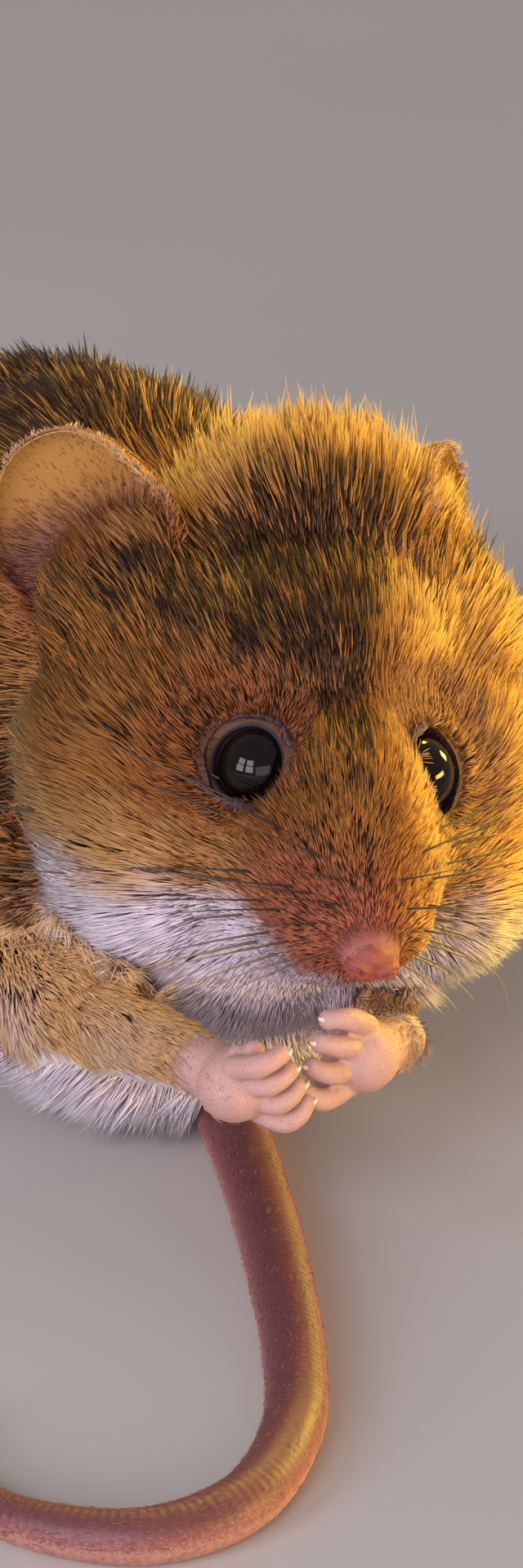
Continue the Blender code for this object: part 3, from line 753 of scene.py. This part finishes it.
def makeEar(side):
    axes, height = earAxes(side)
    rings, around = 26, 72
    share, angle = np.meshgrid(np.arange(1, rings + 1) / rings, np.arange(around) * 2 * pi / around,
                               indexing="ij")
    outer = earSheet(share, angle, height, 0.0).reshape(-1, 3)
    inner = earSheet(share, angle, height, earPlan["thickness"]).reshape(-1, 3)
    inner[:, 1] += 0.01
    centres = [earSheet(np.zeros(1), np.zeros(1), height, inset) for inset in (0.0, earPlan["thickness"])]
    points = np.vstack([outer, inner, *centres])
    count = rings * around
    at = np.arange(count).reshape(rings, around)
    turned = np.roll(at, -1, axis=1)
    quads = ringQuads(at)
    triangles = np.vstack([quads[:, [0, 1, 2]], quads[:, [0, 2, 3]]])
    rim = np.stack([at[-1], at[-1] + count, turned[-1] + count, turned[-1]], -1)
    rim = np.vstack([rim[:, [0, 1, 2]], rim[:, [0, 2, 3]]])
    outerCap = np.stack([np.full(around, 2 * count), at[0], turned[0]], -1)
    innerCap = np.stack([np.full(around, 2 * count + 1), turned[0] + count, at[0] + count], -1)
    faces = np.vstack([triangles, triangles[:, ::-1] + count, rim, outerCap, innerCap])
    ear = arrayMesh("ear", points, faces)
    ear.data.transform(axes)
    bm = bmesh.new()
    bm.from_mesh(ear.data)
    bmesh.ops.recalc_face_normals(bm, faces=bm.faces)
    bm.to_mesh(ear.data)
    bm.free()
    edge = np.concatenate([share.ravel(), share.ravel(), [0, 0]])
    return numbered(ear, "earSkin", edge=edge, tall=np.clip(points[:, 2] / height, 0, 1),
                    inside=np.repeat([0.0, 1.0, 0.0, 1.0], [count, count, 1, 1]))


# Hands: palm, pads, four fingers bent at the knuckles and a stub of a thumb, with their claws
handPlan = {"right": ((-8.4, -17.5, 8.7), (1.9, -0.3, 0.9)), "left": ((-3.7, -17.7, 8.7), (-1.3, 0.1, 0.5)),
            "finger": (0.40, 0.36, 0.31), "claw": 0.5}
claws = []


def clawAt(end, way, down, length, radius):
    line = [end - way * 0.15, end + way * length * 0.5 + down * length * 0.05,
            end + way * length + down * length * 0.45]
    curve = smoothLine(line, 6)
    claws.append(tube("claw", curve, radius * (1 - np.linspace(0, 1, len(curve)) ** 1.6 * 0.93), 10))


def makeHand(side):
    wrist = Vector(armRoutes[side][-1][0])
    palm, aim = Vector(handPlan[side][0]), Vector(handPlan[side][1]).normalized()
    reach = (palm - wrist).normalized()
    across = reach.cross(aim).normalized()
    back = wrist - reach * 1.4
    pieces = [tube("wrist", smoothLine([back, wrist, palm], 6), np.linspace(0.85, 1.08, 13), 20),
              ball(palm, (1.28,) * 3), ball(palm + aim * 0.35 + reach * 0.1, (1.0,) * 3)]
    r0, r1, r2 = handPlan["finger"]
    for index in range(4):
        spread = (index - 1.5) * 0.74
        root = palm + across * spread + reach * 0.35
        knuckle = root + reach * 0.9 + across * spread * 0.3 + aim * 0.3
        middle = knuckle + aim * 0.5 + reach * 0.16
        end = knuckle + aim * 0.95 + reach * 0.02 - across * spread * 0.12
        line = smoothLine([root, knuckle, middle, end], 5)
        widths = np.interp(np.linspace(0, 1, len(line)), [0, 0.4, 0.7, 1], [r0, r0 * 1.04, r1, r2])
        pieces.append(tube("finger", line, widths, 14))
        pieces += [ball(spot, (radius,) * 3, fineness=3) for spot, radius in (
            (knuckle, r0 * 1.05), (end - reach * 0.05, r2 * 1.18),
            (palm + across * spread * 0.95 + aim * 1.0 + reach * 0.15, 0.36))]
        clawAt(end + reach * 0.1, (aim * 0.9 + reach * 0.2).normalized(), -reach, handPlan["claw"], 0.13)
    inner = across * (-1 if side == "left" else 1)
    pieces.append(ball(palm + inner * 1.05 + aim * 0.55, (0.42,) * 3, fineness=3))
    return numbered(remeshed(pieces, "hand", 0.08), "pinkSkin")


# Hind feet: long sole, pads, five toes with claws, flat on the floor
footPlan = {"heel": (8.3, 17.2, 0.0), "length": 14.0, "toe": (0.52, 0.46, 0.38), "claw": 0.95}


def makeFoot(side):
    heel = onSide(footPlan["heel"], side)
    ballOfFoot = heel + Vector((side * 0.5, -footPlan["length"] * 0.58, 0.0))
    sole = [heel + Vector((0, 0.2, 1.2)), heel.lerp(ballOfFoot, 0.5) + Vector((0, 0, 0.98)),
            ballOfFoot + Vector((0, 0, 0.85))]
    pieces = [tube("sole", smoothLine(sole, 8), np.interp(np.arange(17), [0, 8, 16], [1.15, 1.05, 1.12]), 24),
              ball(sole[0], (1.18, 1.3, 1.18)), ball(sole[2], (1.5, 1.35, 0.85))]
    shank = [heel + Vector((0, 0.2, 1.2)), heel + Vector((-side * 0.3, -1.0, 3.2))]
    pieces.append(tube("shank", smoothLine(shank, 6), np.linspace(1.1, 1.5, 7), 20))
    r0, r1, r2 = footPlan["toe"]
    for index in range(5):
        spread = (index - 2) / 2
        reach = footPlan["length"] * (0.40 - 0.10 * spread * spread - 0.03 * spread)
        root = ballOfFoot + Vector((side * spread * 1.0, 0.2, 0.62))
        middle = root + Vector((side * spread * 0.75, -reach * 0.5, 0.22))
        end = root + Vector((side * spread * 1.44, -reach * 0.86, -0.2))
        line = smoothLine([root, middle, end], 8)
        widths = np.interp(np.linspace(0, 1, len(line)), [0, 0.5, 1], [r0, r1, r2])
        pieces.append(tube("toe", line, widths, 14))
        pieces += [ball(spot + Vector(offset), (radius,) * 3, fineness=3) for spot, offset, radius in (
            (end, (0, 0.1, 0.0), 0.44), (middle, (0, 0.2, -0.05), 0.5), (root, (0, 0.5, -0.2), 0.42))]
        ahead = (end - middle).normalized()
        clawAt(end + Vector((0, -0.2, 0.12)), Vector((ahead.x, ahead.y, 0.05)).normalized(),
               Vector((0, 0, -1)), footPlan["claw"], 0.16)
    foot = remeshed(pieces, "foot", 0.1)
    aboveFloor(foot)
    return numbered(foot, "pinkSkin")


# Tail: laid on the floor, out past the hands, then curled to the mouse's right
tailRoute = [(0.3, 17.5), (0.6, 11.0), (-0.4, 3.5), (-2.2, -3.5), (-4.0, -9.6), (-5.6, -14.4), (-7.2, -18.6),
             (-8.9, -22.6), (-11.0, -26.3), (-14.2, -29.1), (-17.8, -29.2), (-20.7, -26.4), (-21.4, -22.6),
             (-19.6, -19.8)]
tailPlan = {"root": 2.7, "slim": 2.0, "tip": 0.8, "sink": 0.06, "ring": 0.3, "relief": 0.014,
            "sides": 24}


def tailLine():
    knots = smoothLine([(*knot, 0.0) for knot in tailRoute], 24)
    run = np.concatenate([[0], np.cumsum(np.linalg.norm(np.diff(knots, axis=0), axis=1))])
    even = np.arange(0, run[-1], tailPlan["ring"] / 3)
    line = np.stack([np.interp(even, run, knots[:, axis]) for axis in range(3)], 1)
    share = even / run[-1]
    end = np.clip((share - 0.75) / 0.25, 0, 1)
    wide = tailPlan["root"] + (tailPlan["slim"] - tailPlan["root"]) * np.minimum(share / 0.75, 1)
    radius = (wide - (tailPlan["slim"] - tailPlan["tip"]) * end**1.6) / 2
    line[:, 2] = radius - tailPlan["sink"]
    return line, radius, even


def makeTail():
    line, radius, run = tailLine()
    ripple = radius * (1 - tailPlan["relief"] * (0.5 + 0.5 * np.cos(2 * pi * run / tailPlan["ring"])))
    rise = smoothLine([(0.2, 20.6, 6.0), (0.25, 20.0, 3.4), (0.3, 18.6, 1.9), tuple(line[0])], 6)[:-1]
    whole = np.vstack([rise, line[1:]])
    radii = np.concatenate([np.linspace(1.9, 1.36, len(rise)), ripple[1:]])
    tail = tube("tail", whole, radii, tailPlan["sides"])
    aboveFloor(tail)
    runs = np.concatenate([np.zeros(len(rise)), run[1:]])
    mark = np.concatenate([np.repeat(runs, tailPlan["sides"]), [0, run[-1]]])
    return numbered(tail, "tailSkin", run=mark)


def earHairs(ear, side, name):
    axes, height = earAxes(side)
    edge, inside = (meshArray(ear.data.attributes[key].data, "value", 1)[:, 0] for key in ("edge", "inside"))
    local = (pointsOf(ear) - np.array(axes.translation)) @ np.array(axes.to_3x3())
    outward = unit(local * (1, 0, 1) - (0, 0, height * 0.2)) @ np.array(axes.to_3x3()).T
    fringe = eased(edge, 0.93, 0.98) * eased(local[:, 2], height * 0.3, height * 0.55)
    low = faded(local[:, 2], height * 0.1, height * 0.8)
    crowd = (1 - inside) * 55 + inside * (14 + 40 * low) + 70 * fringe
    return shortHairs(ear, name, 50 + side, outward, length=0.5 + 1.9 * low * inside,
                      depth=0.1 + 0.3 * low * inside, crowd=crowd * (1 - 0.4 * low), pale=0.4 * fringe,
                      dark=0.0, tan=0.6 * (1 - low), red=0.35 * low, warm=0.8, stout=0.7)


def handHairs(hand, side, name, arm):
    wrist = Vector(armRoutes[arm][-1][0])
    palm, aim = Vector(handPlan[arm][0]), Vector(handPlan[arm][1])
    reach = np.array((palm - wrist).normalized())
    back = eased(-(pointsOf(hand, "normal") @ np.array(aim.normalized())), 0.0, 0.6)
    near = faded((pointsOf(hand) - np.array(wrist)) @ reach, -0.3, 1.5)
    return shortHairs(hand, name, 60 + side, reach, length=0.38 + 0.35 * near, depth=0.08,
                      crowd=9 * back + 60 * near, pale=0.3, tan=0.7, stout=0.5)


def footHairs(foot, side, name):
    top = eased(pointsOf(foot, "normal")[:, 2], -0.2, 0.5)
    near = eased(pointsOf(foot)[:, 1], 11.0, 16.0)
    return shortHairs(foot, name, 70 + side, (0.0, -1.0, -0.1), length=0.5 + 0.5 * near, depth=0.12,
                      crowd=18 * top + 40 * near, pale=0.55, warm=0.4)


def tailHairs(tail):
    line = tailLine()[0]
    points, sides = pointsOf(tail), tailPlan["sides"]
    nearest = np.array([np.argmin(((line - spot) ** 2).sum(axis=1)) for spot in points[::sides]])
    ahead = np.repeat(unit(np.gradient(line, axis=0))[nearest], sides, axis=0)[:len(points)]
    return shortHairs(tail, "tailHair", 80, ahead, length=0.42, depth=0.07, dark=0.45, pale=0.1, warm=0.6,
                      stout=0.45, crowd=14 * eased(points[:, 2], 0.15, 0.5))


def makeSkin():
    skin = bodySkin
    ears, hands = [makeEar(1), makeEar(-1)], [makeHand("left"), makeHand("right")]
    feet, tail = [makeFoot(1), makeFoot(-1)], makeTail()
    for side, word, ear, hand, foot in zip((1, -1), ("Left", "Right"), ears, hands, feet):
        hairs.append(earHairs(ear, side, "earHair" + word))
        hairs.append(handHairs(hand, side, "handHair" + word, word.lower()))
        hairs.append(footHairs(foot, side, "footHair" + word))
    hairs.append(tailHairs(tail))
    parts = [makeLid(1), makeLid(-1), makeNose(), *ears, *hands, *feet, tail]
    changed(skin, "TRIANGULATE")
    numbered(skin, "furredSkin")
    for part in parts:
        name = part.name
        fused(skin, part)
        print("fused", name, len(skin.data.polygons), "faces")
    keepLargest(skin)
    skin.data.shade_smooth()
    skin.name = skin.data.name = "skin"
    return skin


skin = makeSkin()
clawPiece = joined(claws, "claws")
clawPiece.data.shade_smooth()

# Whiskers: five rows on each pad, long and swept back behind, short in front, and two over each eye
whiskerPlan = {"rows": 5, "columns": 6, "length": (9.5, 3.4), "root": 0.052, "tip": 0.007, "reach": 11.5,
               "seed": 12, "steps": 15, "sides": 6}


def makeWhiskers():
    random = np.random.default_rng(whiskerPlan["seed"])
    tree = surfaceTree(skin)
    turn = headAxes.to_3x3()
    steps, sides = whiskerPlan["steps"], whiskerPlan["sides"]
    made = []

    def whisker(start, way, bow, length, tone):
        heading = (turn @ Vector(way)).normalized()
        hit = tree.ray_cast(headAxes @ Vector(start), heading)[0]
        if hit is None:
            return
        bow = turn @ Vector(bow)
        length = min(length, (whiskerPlan["reach"] - hit.x) / max(heading.x + bow.x, 0.1))
        share = np.linspace(0, 1, steps)[:, None]
        line = share * np.array(heading) + share**2 * np.array(bow)
        line = np.array(hit) - 0.1 * np.array(heading) + length * line
        line[:, 2] = np.maximum(line[:, 2], 0.1)
        radii = whiskerPlan["tip"] + (whiskerPlan["root"] - whiskerPlan["tip"]) * (1 - share[:, 0]) ** 0.8
        item = tube("whisker", line, radii * (0.75 + 0.25 * length / 10), sides)
        setMark(item.data, "along", np.concatenate([np.repeat(share[:, 0], sides), [0, 1]]))
        setMark(item.data, "tone", np.full(len(item.data.vertices), tone))
        made.append(item)

    for side in (1, -1):
        for row in range(whiskerPlan["rows"]):
            for column in range(whiskerPlan["columns"] - (row in (0, 4))):
                back = 1 - column / (whiskerPlan["columns"] - 1)
                level = row / (whiskerPlan["rows"] - 1)
                start = (side * 0.3, -3.0 - 0.6 * column + random.normal(0, 0.06), -1.1 - 2.5 * level)
                way = (side, 0.7 * back - 0.1 + random.normal(0, 0.08),
                       0.25 - 0.75 * level + random.normal(0, 0.08))
                bow = (-side * 0.06, 0.22 + 0.12 * back, -0.14 - 0.18 * level + random.normal(0, 0.05))
                long, short = whiskerPlan["length"]
                length = (short + (long - short) * back**1.2) * random.uniform(0.85, 1.1)
                whisker(start, way, bow, length, 0.1 + 0.5 * level)
        for index in range(2):  # over the eye
            whisker((side * 1.0, 1.4 + 0.5 * index, 1.0), (side * (0.55 + 0.2 * index), 0.5, 1.0),
                    (side * 0.1, 0.4, -0.1), 3.6 - index, 0.3)
        whisker((side * 2.0, 2.6, -2.6), (side, 0.1, -0.25), (0.0, 0.35, -0.1), 2.6, 0.4)  # on the cheek
    piece = joined(made, "whiskers")
    piece.data.shade_smooth()
    roots = pointsOf(piece).reshape(len(made), -1, 3)[:, :sides].mean(axis=1)
    uv = pieceUnwrap(*unwrapPlaces(skin, roots, unwrapFaces), roots)
    ring = np.stack([np.tile(np.linspace(-0.4, 0.4, sides), steps),
                     np.repeat(np.linspace(-0.5, 0.5, steps), sides)], 1)
    patch = uv[:, None] + np.vstack([ring, [(0, -0.5), (0, 0.5)]])[None] * patchSize
    layPatches(piece.data, patch, meshArray(piece.data.loops, "vertex_index", 1, np.int32))
    print("whiskers", len(made))
    return piece


whiskers = makeWhiskers()


# Materials. Colours are sRGB hex values made linear here. Patterns are laid in the piece's own box, so a
# scale counts cells along each side of it. The skin's box is 59 mm long, so there 900 is 0.07 mm, and
# from about 1500 up a pattern is too fine to show and only evens out.
def colour(value):
    parts = [int(value[i:i + 2], 16) / 255 for i in (0, 2, 4)]
    return (*[p / 12.92 if p <= 0.04045 else ((p + 0.055) / 1.055) ** 2.4 for p in parts], 1.0)


# Values or links for a node's inputs, by name or, as i0, i1 and so on, by number
def fill(node, **inputs):
    for name, value in inputs.items():
        socket = node.inputs[int(name[1:]) if name[1:].isdigit() else name.replace("_", " ")]
        if isinstance(value, bpy.types.NodeSocket):
            node.id_data.links.new(value, socket)
        else:
            socket.default_value = colour(value) if isinstance(value, str) else value


# Adds a node with its settings, inputs and ramp stops, and gives its output, which is
# the third one of a mix of colours or of a mark
def addNode(tree, kind, settings={}, stops=(), **inputs):
    node = tree.nodes.new("ShaderNode" + kind)
    for name, value in settings.items():
        setattr(node, name, value)
    fill(node, **inputs)
    elements = node.color_ramp.elements if stops else []
    while len(elements) < len(stops):
        elements.new(0.5)
    for element, (place, value) in zip(elements, stops):
        element.position = place
        element.color = colour(value)
    return node.outputs[2 if kind in ("Mix", "Attribute") else 0]


def newMaterial(make):
    name = make.__name__
    material = bpy.data.materials.get(name) or bpy.data.materials.new(name)
    material.use_nodes = True
    make(material.node_tree.nodes["Principled BSDF"], partial(addNode, material.node_tree))
    return material


# Light that goes a little way into the surface, by red, green and blue
def soft(weight, *reach):
    return {"Subsurface_Weight": weight, "Subsurface_Radius": reach, "Subsurface_Scale": 1.0}


blend = {"data_type": "RGBA"}
product = {"data_type": "RGBA", "blend_type": "MULTIPLY"}
coatColours = {
    "gold": [(0.0, "33221a"), (0.35, "865124"), (0.75, "c08234"), (1.0, "e8b766")],
    "warm": [(0.0, "46251a"), (0.4, "8a4a22"), (1.0, "c07c3e")],
    "tan": [(0.0, "8c6038"), (0.4, "b8824a"), (0.8, "dcae6c"), (1.0, "f2d398")],
    "red": [(0.0, "763c2a"), (0.5, "ac5c40"), (1.0, "d3906a")],
    "dark": [(0.0, "33231a"), (0.4, "573820"), (0.75, "3c2818"), (1.0, "2e1f15")],
    "pale": [(0.0, "b0a0a6"), (0.4, "d6c7d1"), (1.0, "fdf4f8")],
}


# The markings, the same for skin and coat: six kinds of hair, mixed by the marks that both carry
def markedColour(add, along, tone):
    dark = add("Attribute", {"attribute_name": "dark"})
    reach = add("Math", {"operation": "MULTIPLY_ADD"}, i0=dark, i1=0.86, i2=0.1)
    over = add("Math", {"operation": "SUBTRACT"}, i0=reach, i1=tone)
    base = None
    for kind, stops in coatColours.items():
        hair = add("ValToRGB", stops=stops, i0=along)
        if kind == "gold":
            base = hair
        elif kind == "dark":
            base = add("Mix", blend, i0=add("MapRange", i0=over, i1=-0.08, i2=0.08), i6=base, i7=hair)
        else:
            base = add("Mix", blend, i0=add("Attribute", {"attribute_name": kind}), i6=base, i7=hair)
    return base


# Keratin hair: matt with a soft broken shine along it, so the coat reads as fur and not as plastic
def agoutiHair(shader, add):
    along, tone = (add("Attribute", {"attribute_name": name}) for name in ("along", "tone"))
    light = add("MapRange", i0=tone, i3=0.82, i4=1.18)
    tint = add("CombineColor", i0=light, i1=light, i2=light)
    base = add("Mix", product, i0=1.0, i6=markedColour(add, along, tone), i7=tint)
    fill(shader, Base_Color=base, Roughness=0.5, IOR=1.4)


# Skin under the coat: matt and a little darker as painted shade, so the gaps between the locks look deep
def furredSkin(shader, add):
    spots = add("TexNoise", Scale=2600.0, Detail=3.0)
    along = add("MapRange", i0=spots, i1=0.3, i2=0.7, i3=0.1, i4=0.45)
    # painted shade: the marked colour is darkened all over for the gaps between the locks
    base = add("Mix", product, i0=1.0, i6=markedColour(add, along, spots), i7="b0a8a2")
    pink = add("ValToRGB", stops=[(0.3, "8d4440"), (0.7, "b8716a")], i0=spots)
    base = add("Mix", blend, i0=add("Attribute", {"attribute_name": "bare"}), i6=base, i7=pink)
    base = add("Mix", blend, i0=add("Attribute", {"attribute_name": "rim"}), i6=base, i7="4a3c48")
    bump = add("Bump", Strength=0.4, Distance=0.00006, Height=spots)
    fill(shader, Base_Color=base, Normal=bump, Roughness=0.6)


# Thin bare skin of the ear: mauve-grey low in the cup, darker there as painted shade, tan towards the tip,
# lighter there as painted light shining through, with veins 0.1 mm apart
def earSkin(shader, add):
    spots = add("TexNoise", Scale=1500.0, Detail=4.0)
    veins = add("TexVoronoi", {"feature": "DISTANCE_TO_EDGE"}, Scale=620.0)
    # painted light and shade: the ramp up the ear darkens the cup low down and lightens the tip
    base = add("ValToRGB", stops=[(0.0, "5c3c3a"), (0.46, "744a42"), (0.68, "b47e38"), (1.0, "cb984a")],
               i0=add("Attribute", {"attribute_name": "tall"}))
    vein = add("MapRange", i0=veins, i1=0.0, i2=0.06, i3=0.35, i4=0.0)
    mottle = add("MapRange", i0=spots, i1=0.3, i2=0.7, i3=0.82, i4=1.12)
    base = add("Mix", product, i0=1.0, i6=add("Mix", blend, i0=vein, i6=base, i7="7a4048"),
               i7=add("CombineColor", i0=mottle, i1=mottle, i2=mottle))
    bump = add("Bump", Strength=0.35, Distance=0.00005, Height=spots)
    fill(shader, Base_Color=base, Normal=bump, Roughness=0.55, **soft(0.15, 0.0005, 0.00035, 0.0002))


# Soft pink skin of nose, hands and feet: finely mottled, a little moist
def pinkSkin(shader, add):
    spots = add("TexNoise", Scale=900.0, Detail=5.0)
    hand = add("ValToRGB", stops=[(0.3, "b4857d"), (0.5, "c69a92"), (0.7, "d6b0a7")], i0=spots)
    nose = add("ValToRGB", stops=[(0.3, "84382f"), (0.7, "a85648")], i0=spots)
    base = add("Mix", blend, i0=add("Attribute", {"attribute_name": "wet"}), i6=hand, i7=nose)
    bump = add("Bump", Strength=0.3, Distance=0.00004, Height=add("TexVoronoi", Scale=5200.0))
    fill(shader, Base_Color=base, Normal=bump, Roughness=0.42, **soft(0.3, 0.0008, 0.0003, 0.0002))


# Scaly skin of the tail: satin, mauve-brown rings 0.3 mm apart with painted shade in the grooves, paler along
# the sides and below
def tailSkin(shader, add):
    spots = add("TexNoise", Scale=420.0, Detail=4.0)
    fine = add("TexNoise", Scale=3500.0, Detail=2.0)
    up = add("SeparateXYZ", i0=add("NewGeometry").node.outputs["Normal"]).node.outputs["Z"]
    top = add("MapRange", i0=up, i1=-0.2, i2=0.75)
    mottle = add("Math", {"operation": "MULTIPLY_ADD"}, i0=spots, i1=1.5, i2=-0.75)
    base = add("ValToRGB", stops=[(0.0, "b48274"), (0.35, "965a54"), (0.65, "7c4244"), (1.0, "64363a")],
               i0=add("Math", {"operation": "ADD", "use_clamp": True}, i0=top, i1=mottle))
    turn = add("Math", {"operation": "MULTIPLY"}, i0=add("Attribute", {"attribute_name": "run"}),
               i1=2 * pi / tailPlan["ring"])
    wave = add("Math", {"operation": "COSINE"}, i0=turn)
    # painted shade: darker in the grooves between the rings
    groove = add("MapRange", i0=wave, i1=0.2, i2=1.0, i3=0.0, i4=0.1)
    rough = add("Math", {"operation": "MULTIPLY_ADD"}, i0=fine, i1=0.5, i2=wave)
    bump = add("Bump", {"invert": True}, Strength=0.25, Distance=0.00001, Height=rough)
    fill(shader, Base_Color=add("Mix", blend, i0=groove, i6=base, i7="5a3238"), Normal=bump, Roughness=0.5,
         **soft(0.15, 0.0006, 0.0003, 0.0002))


# Eyelid: a dark, dull, slightly moist bare edge, brown where the hairs begin
def lidSkin(shader, add):
    spots = add("TexNoise", Scale=2500.0, Detail=3.0)
    bare = add("ValToRGB", stops=[(0.3, "1d171f"), (0.7, "332a37")], i0=spots)
    furred = add("ValToRGB", stops=[(0.3, "4a2e1c"), (0.7, "6e4628")], i0=spots)
    share = add("MapRange", i0=add("Attribute", {"attribute_name": "edge"}), i1=0.2, i2=0.34)
    base = add("Mix", blend, i0=share, i6=bare, i7=furred)
    fill(shader, Base_Color=base, Roughness=0.6, Specular_IOR_Level=0.3)


# Stiff whisker: dark and polished at the root, paler and clearer towards the tip
def whiskerKeratin(shader, add):
    along, tone = (add("Attribute", {"attribute_name": name}) for name in ("along", "tone"))
    dark = add("ValToRGB", stops=[(0.0, "1a110d"), (0.6, "3d2a1b"), (1.0, "7c5d3c")], i0=along)
    light = add("ValToRGB", stops=[(0.0, "5d4128"), (0.5, "c9a468"), (1.0, "ecd9ad")], i0=along)
    base = add("Mix", blend, i0=add("MapRange", i0=tone, i1=0.4, i2=0.75), i6=dark, i7=light)
    fill(shader, Base_Color=base, Roughness=0.3, IOR=1.55)


# Horn of the claws: pale and clear, a little polished
def clawHorn(shader, add):
    spots = add("TexNoise", Scale=1800.0, Detail=2.0)
    base = add("ValToRGB", stops=[(0.3, "d8c0ae"), (0.7, "efe0d2")], i0=spots)
    fill(shader, Base_Color=base, Roughness=0.3, **soft(0.2, 0.0003, 0.0002, 0.0001))


# Wet cornea over a black iris: near mirror gloss
def wetEye(shader, add):
    spots = add("TexNoise", Scale=900.0, Detail=2.0)
    base = add("ValToRGB", stops=[(0.3, "060404"), (0.8, "120a07")], i0=spots)
    fill(shader, Base_Color=base, Roughness=0.03, IOR=1.38)


# Painted board under the mouse: matt, with a faint grain
def paleBoard(shader, add):
    grain = add("TexNoise", Scale=60.0, Detail=4.0)
    base = add("ValToRGB", stops=[(0.3, "c6c1ba"), (0.7, "cbc6bf")], i0=grain)
    fill(shader, Base_Color=base, Roughness=0.8)


def makeEyes():
    eyes = []
    for side, name in ((1, "Left"), (-1, "Right")):
        mesh = bmesh.new()
        bmesh.ops.create_uvsphere(mesh, u_segments=64, v_segments=40, radius=eyePlan["radius"],
                                  matrix=eyeAxes(side))
        eyes.append(fromBmesh(mesh, "eye" + name))
        eyes[-1].data.shade_smooth()
    return eyes


eyes = makeEyes()
for make in (furredSkin, earSkin, pinkSkin, tailSkin, lidSkin):
    newMaterial(make)
hairLook, eyeLook = newMaterial(agoutiHair), newMaterial(wetEye)
clawLook, whiskerLook = newMaterial(clawHorn), newMaterial(whiskerKeratin)
print("materials", len(bpy.data.materials))


def deliver(item, material, slot, *nodes):
    item.data.transform(toFrame)
    if material:
        item.data.materials.clear()
        item.data.materials.append(material)
    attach(item, "root")
    if nodes:
        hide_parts(*nodes)


deliver(skin, None, "pink_skin", *[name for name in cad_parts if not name.startswith("eye")])
for piece in coats:
    deliver(piece, hairLook, "agouti_fur")
for piece, node in zip(eyes, ("eye_left", "eye_right")):
    deliver(piece, eyeLook, "black_eye", node)
for piece in hairs:
    deliver(piece, hairLook, "tail_skin" if piece.name == "tailHair" else "agouti_fur")
deliver(clawPiece, clawLook, "pink_skin")
deliver(whiskers, whiskerLook, "agouti_fur")

# Camera at the photo's view: 25 degrees down, 28 degrees round to the mouse's right
view = {"turn": -28.0, "rise": 25.0, "distance": 160.0, "target": (-3.75, -10.62, 15.8), "lens": 108.0}


def makeCamera():
    turn, rise = radians(view["turn"]), radians(view["rise"])
    toward = Vector((sin(turn) * cos(rise), -cos(turn) * cos(rise), sin(rise)))
    right = Vector((cos(turn), sin(turn), 0.0))
    up = toward.cross(right)
    camera = newObject("camera", bpy.data.cameras.new("camera"))
    camera.data.lens = view["lens"]
    camera.data.sensor_width = 36.0
    camera.data.clip_start = 0.001
    place = toFrame @ (Vector(view["target"]) + toward * view["distance"])
    camera.matrix_world = Matrix.Translation(place) @ Matrix((right, up, toward)).transposed().to_4x4()
    bpy.context.scene.camera = camera


def makeLight(name, place, target, size, power, tint, spread):
    lamp = bpy.data.lights.new(name, "AREA")
    lamp.shape = "RECTANGLE"
    lamp.size, lamp.size_y = size
    lamp.energy = power
    lamp.color = colour(tint)[:3]
    lamp.spread = radians(spread)
    light = newObject(name, lamp)
    light.location = place
    light.rotation_euler = (Vector(place) - Vector(target)).to_track_quat("Z", "Y").to_euler()
    return light


def makeStage():
    middle = toFrame @ Vector((-2, -4, 12))
    window = Vector((-0.34, -0.19, 0.19))
    for column in (-1, 1):
        for row in (-1, 1):
            offset = Vector((0.05 * column, -0.085 * column, 0.075 * row))
            makeLight("windowPane", window + offset, middle, (0.15, 0.12), 0.42, "f4eeff", 180)
    suns = [makeLight("lowSun", (0.36, 0.06, 0.10), middle, (0.08, 0.09), 0.052, "ffdc54", 30),
            makeLight("highSun", (0.24, 0.24, 0.32), middle, (0.15, 0.13), 0.06, "ffdf60", 30),
            makeLight("lowBounce", (0.28, -0.24, 0.03), middle, (0.2, 0.06), 0.16, "ffd858", 60)]
    makeLight("fillLight", (-0.06, -0.5, 0.07), middle, (0.4, 0.3), 0.7, "fff4f0", 180)
    world = bpy.data.worlds.new("studio")
    world.use_nodes = True
    world.node_tree.nodes["Background"].inputs["Color"].default_value = colour("eeeaec")
    world.node_tree.nodes["Background"].inputs["Strength"].default_value = 0.4
    bpy.context.scene.world = world
    mesh = bmesh.new()
    bmesh.ops.create_grid(mesh, x_segments=2, y_segments=2, size=2.0)
    floor = fromBmesh(mesh, "floor")
    floor.data.materials.append(newMaterial(paleBoard))
    # the golden lights are flagged off the floor, as they would be with cards in a studio
    shaded = bpy.data.collections.new("shadedFloor")
    shaded.objects.link(floor)
    shaded.collection_objects[0].light_linking.link_state = "EXCLUDE"
    for sun in suns:
        sun.light_linking.receiver_collection = shaded


makeCamera()
makeStage()
bpy.context.scene.view_settings.view_transform = "Standard"
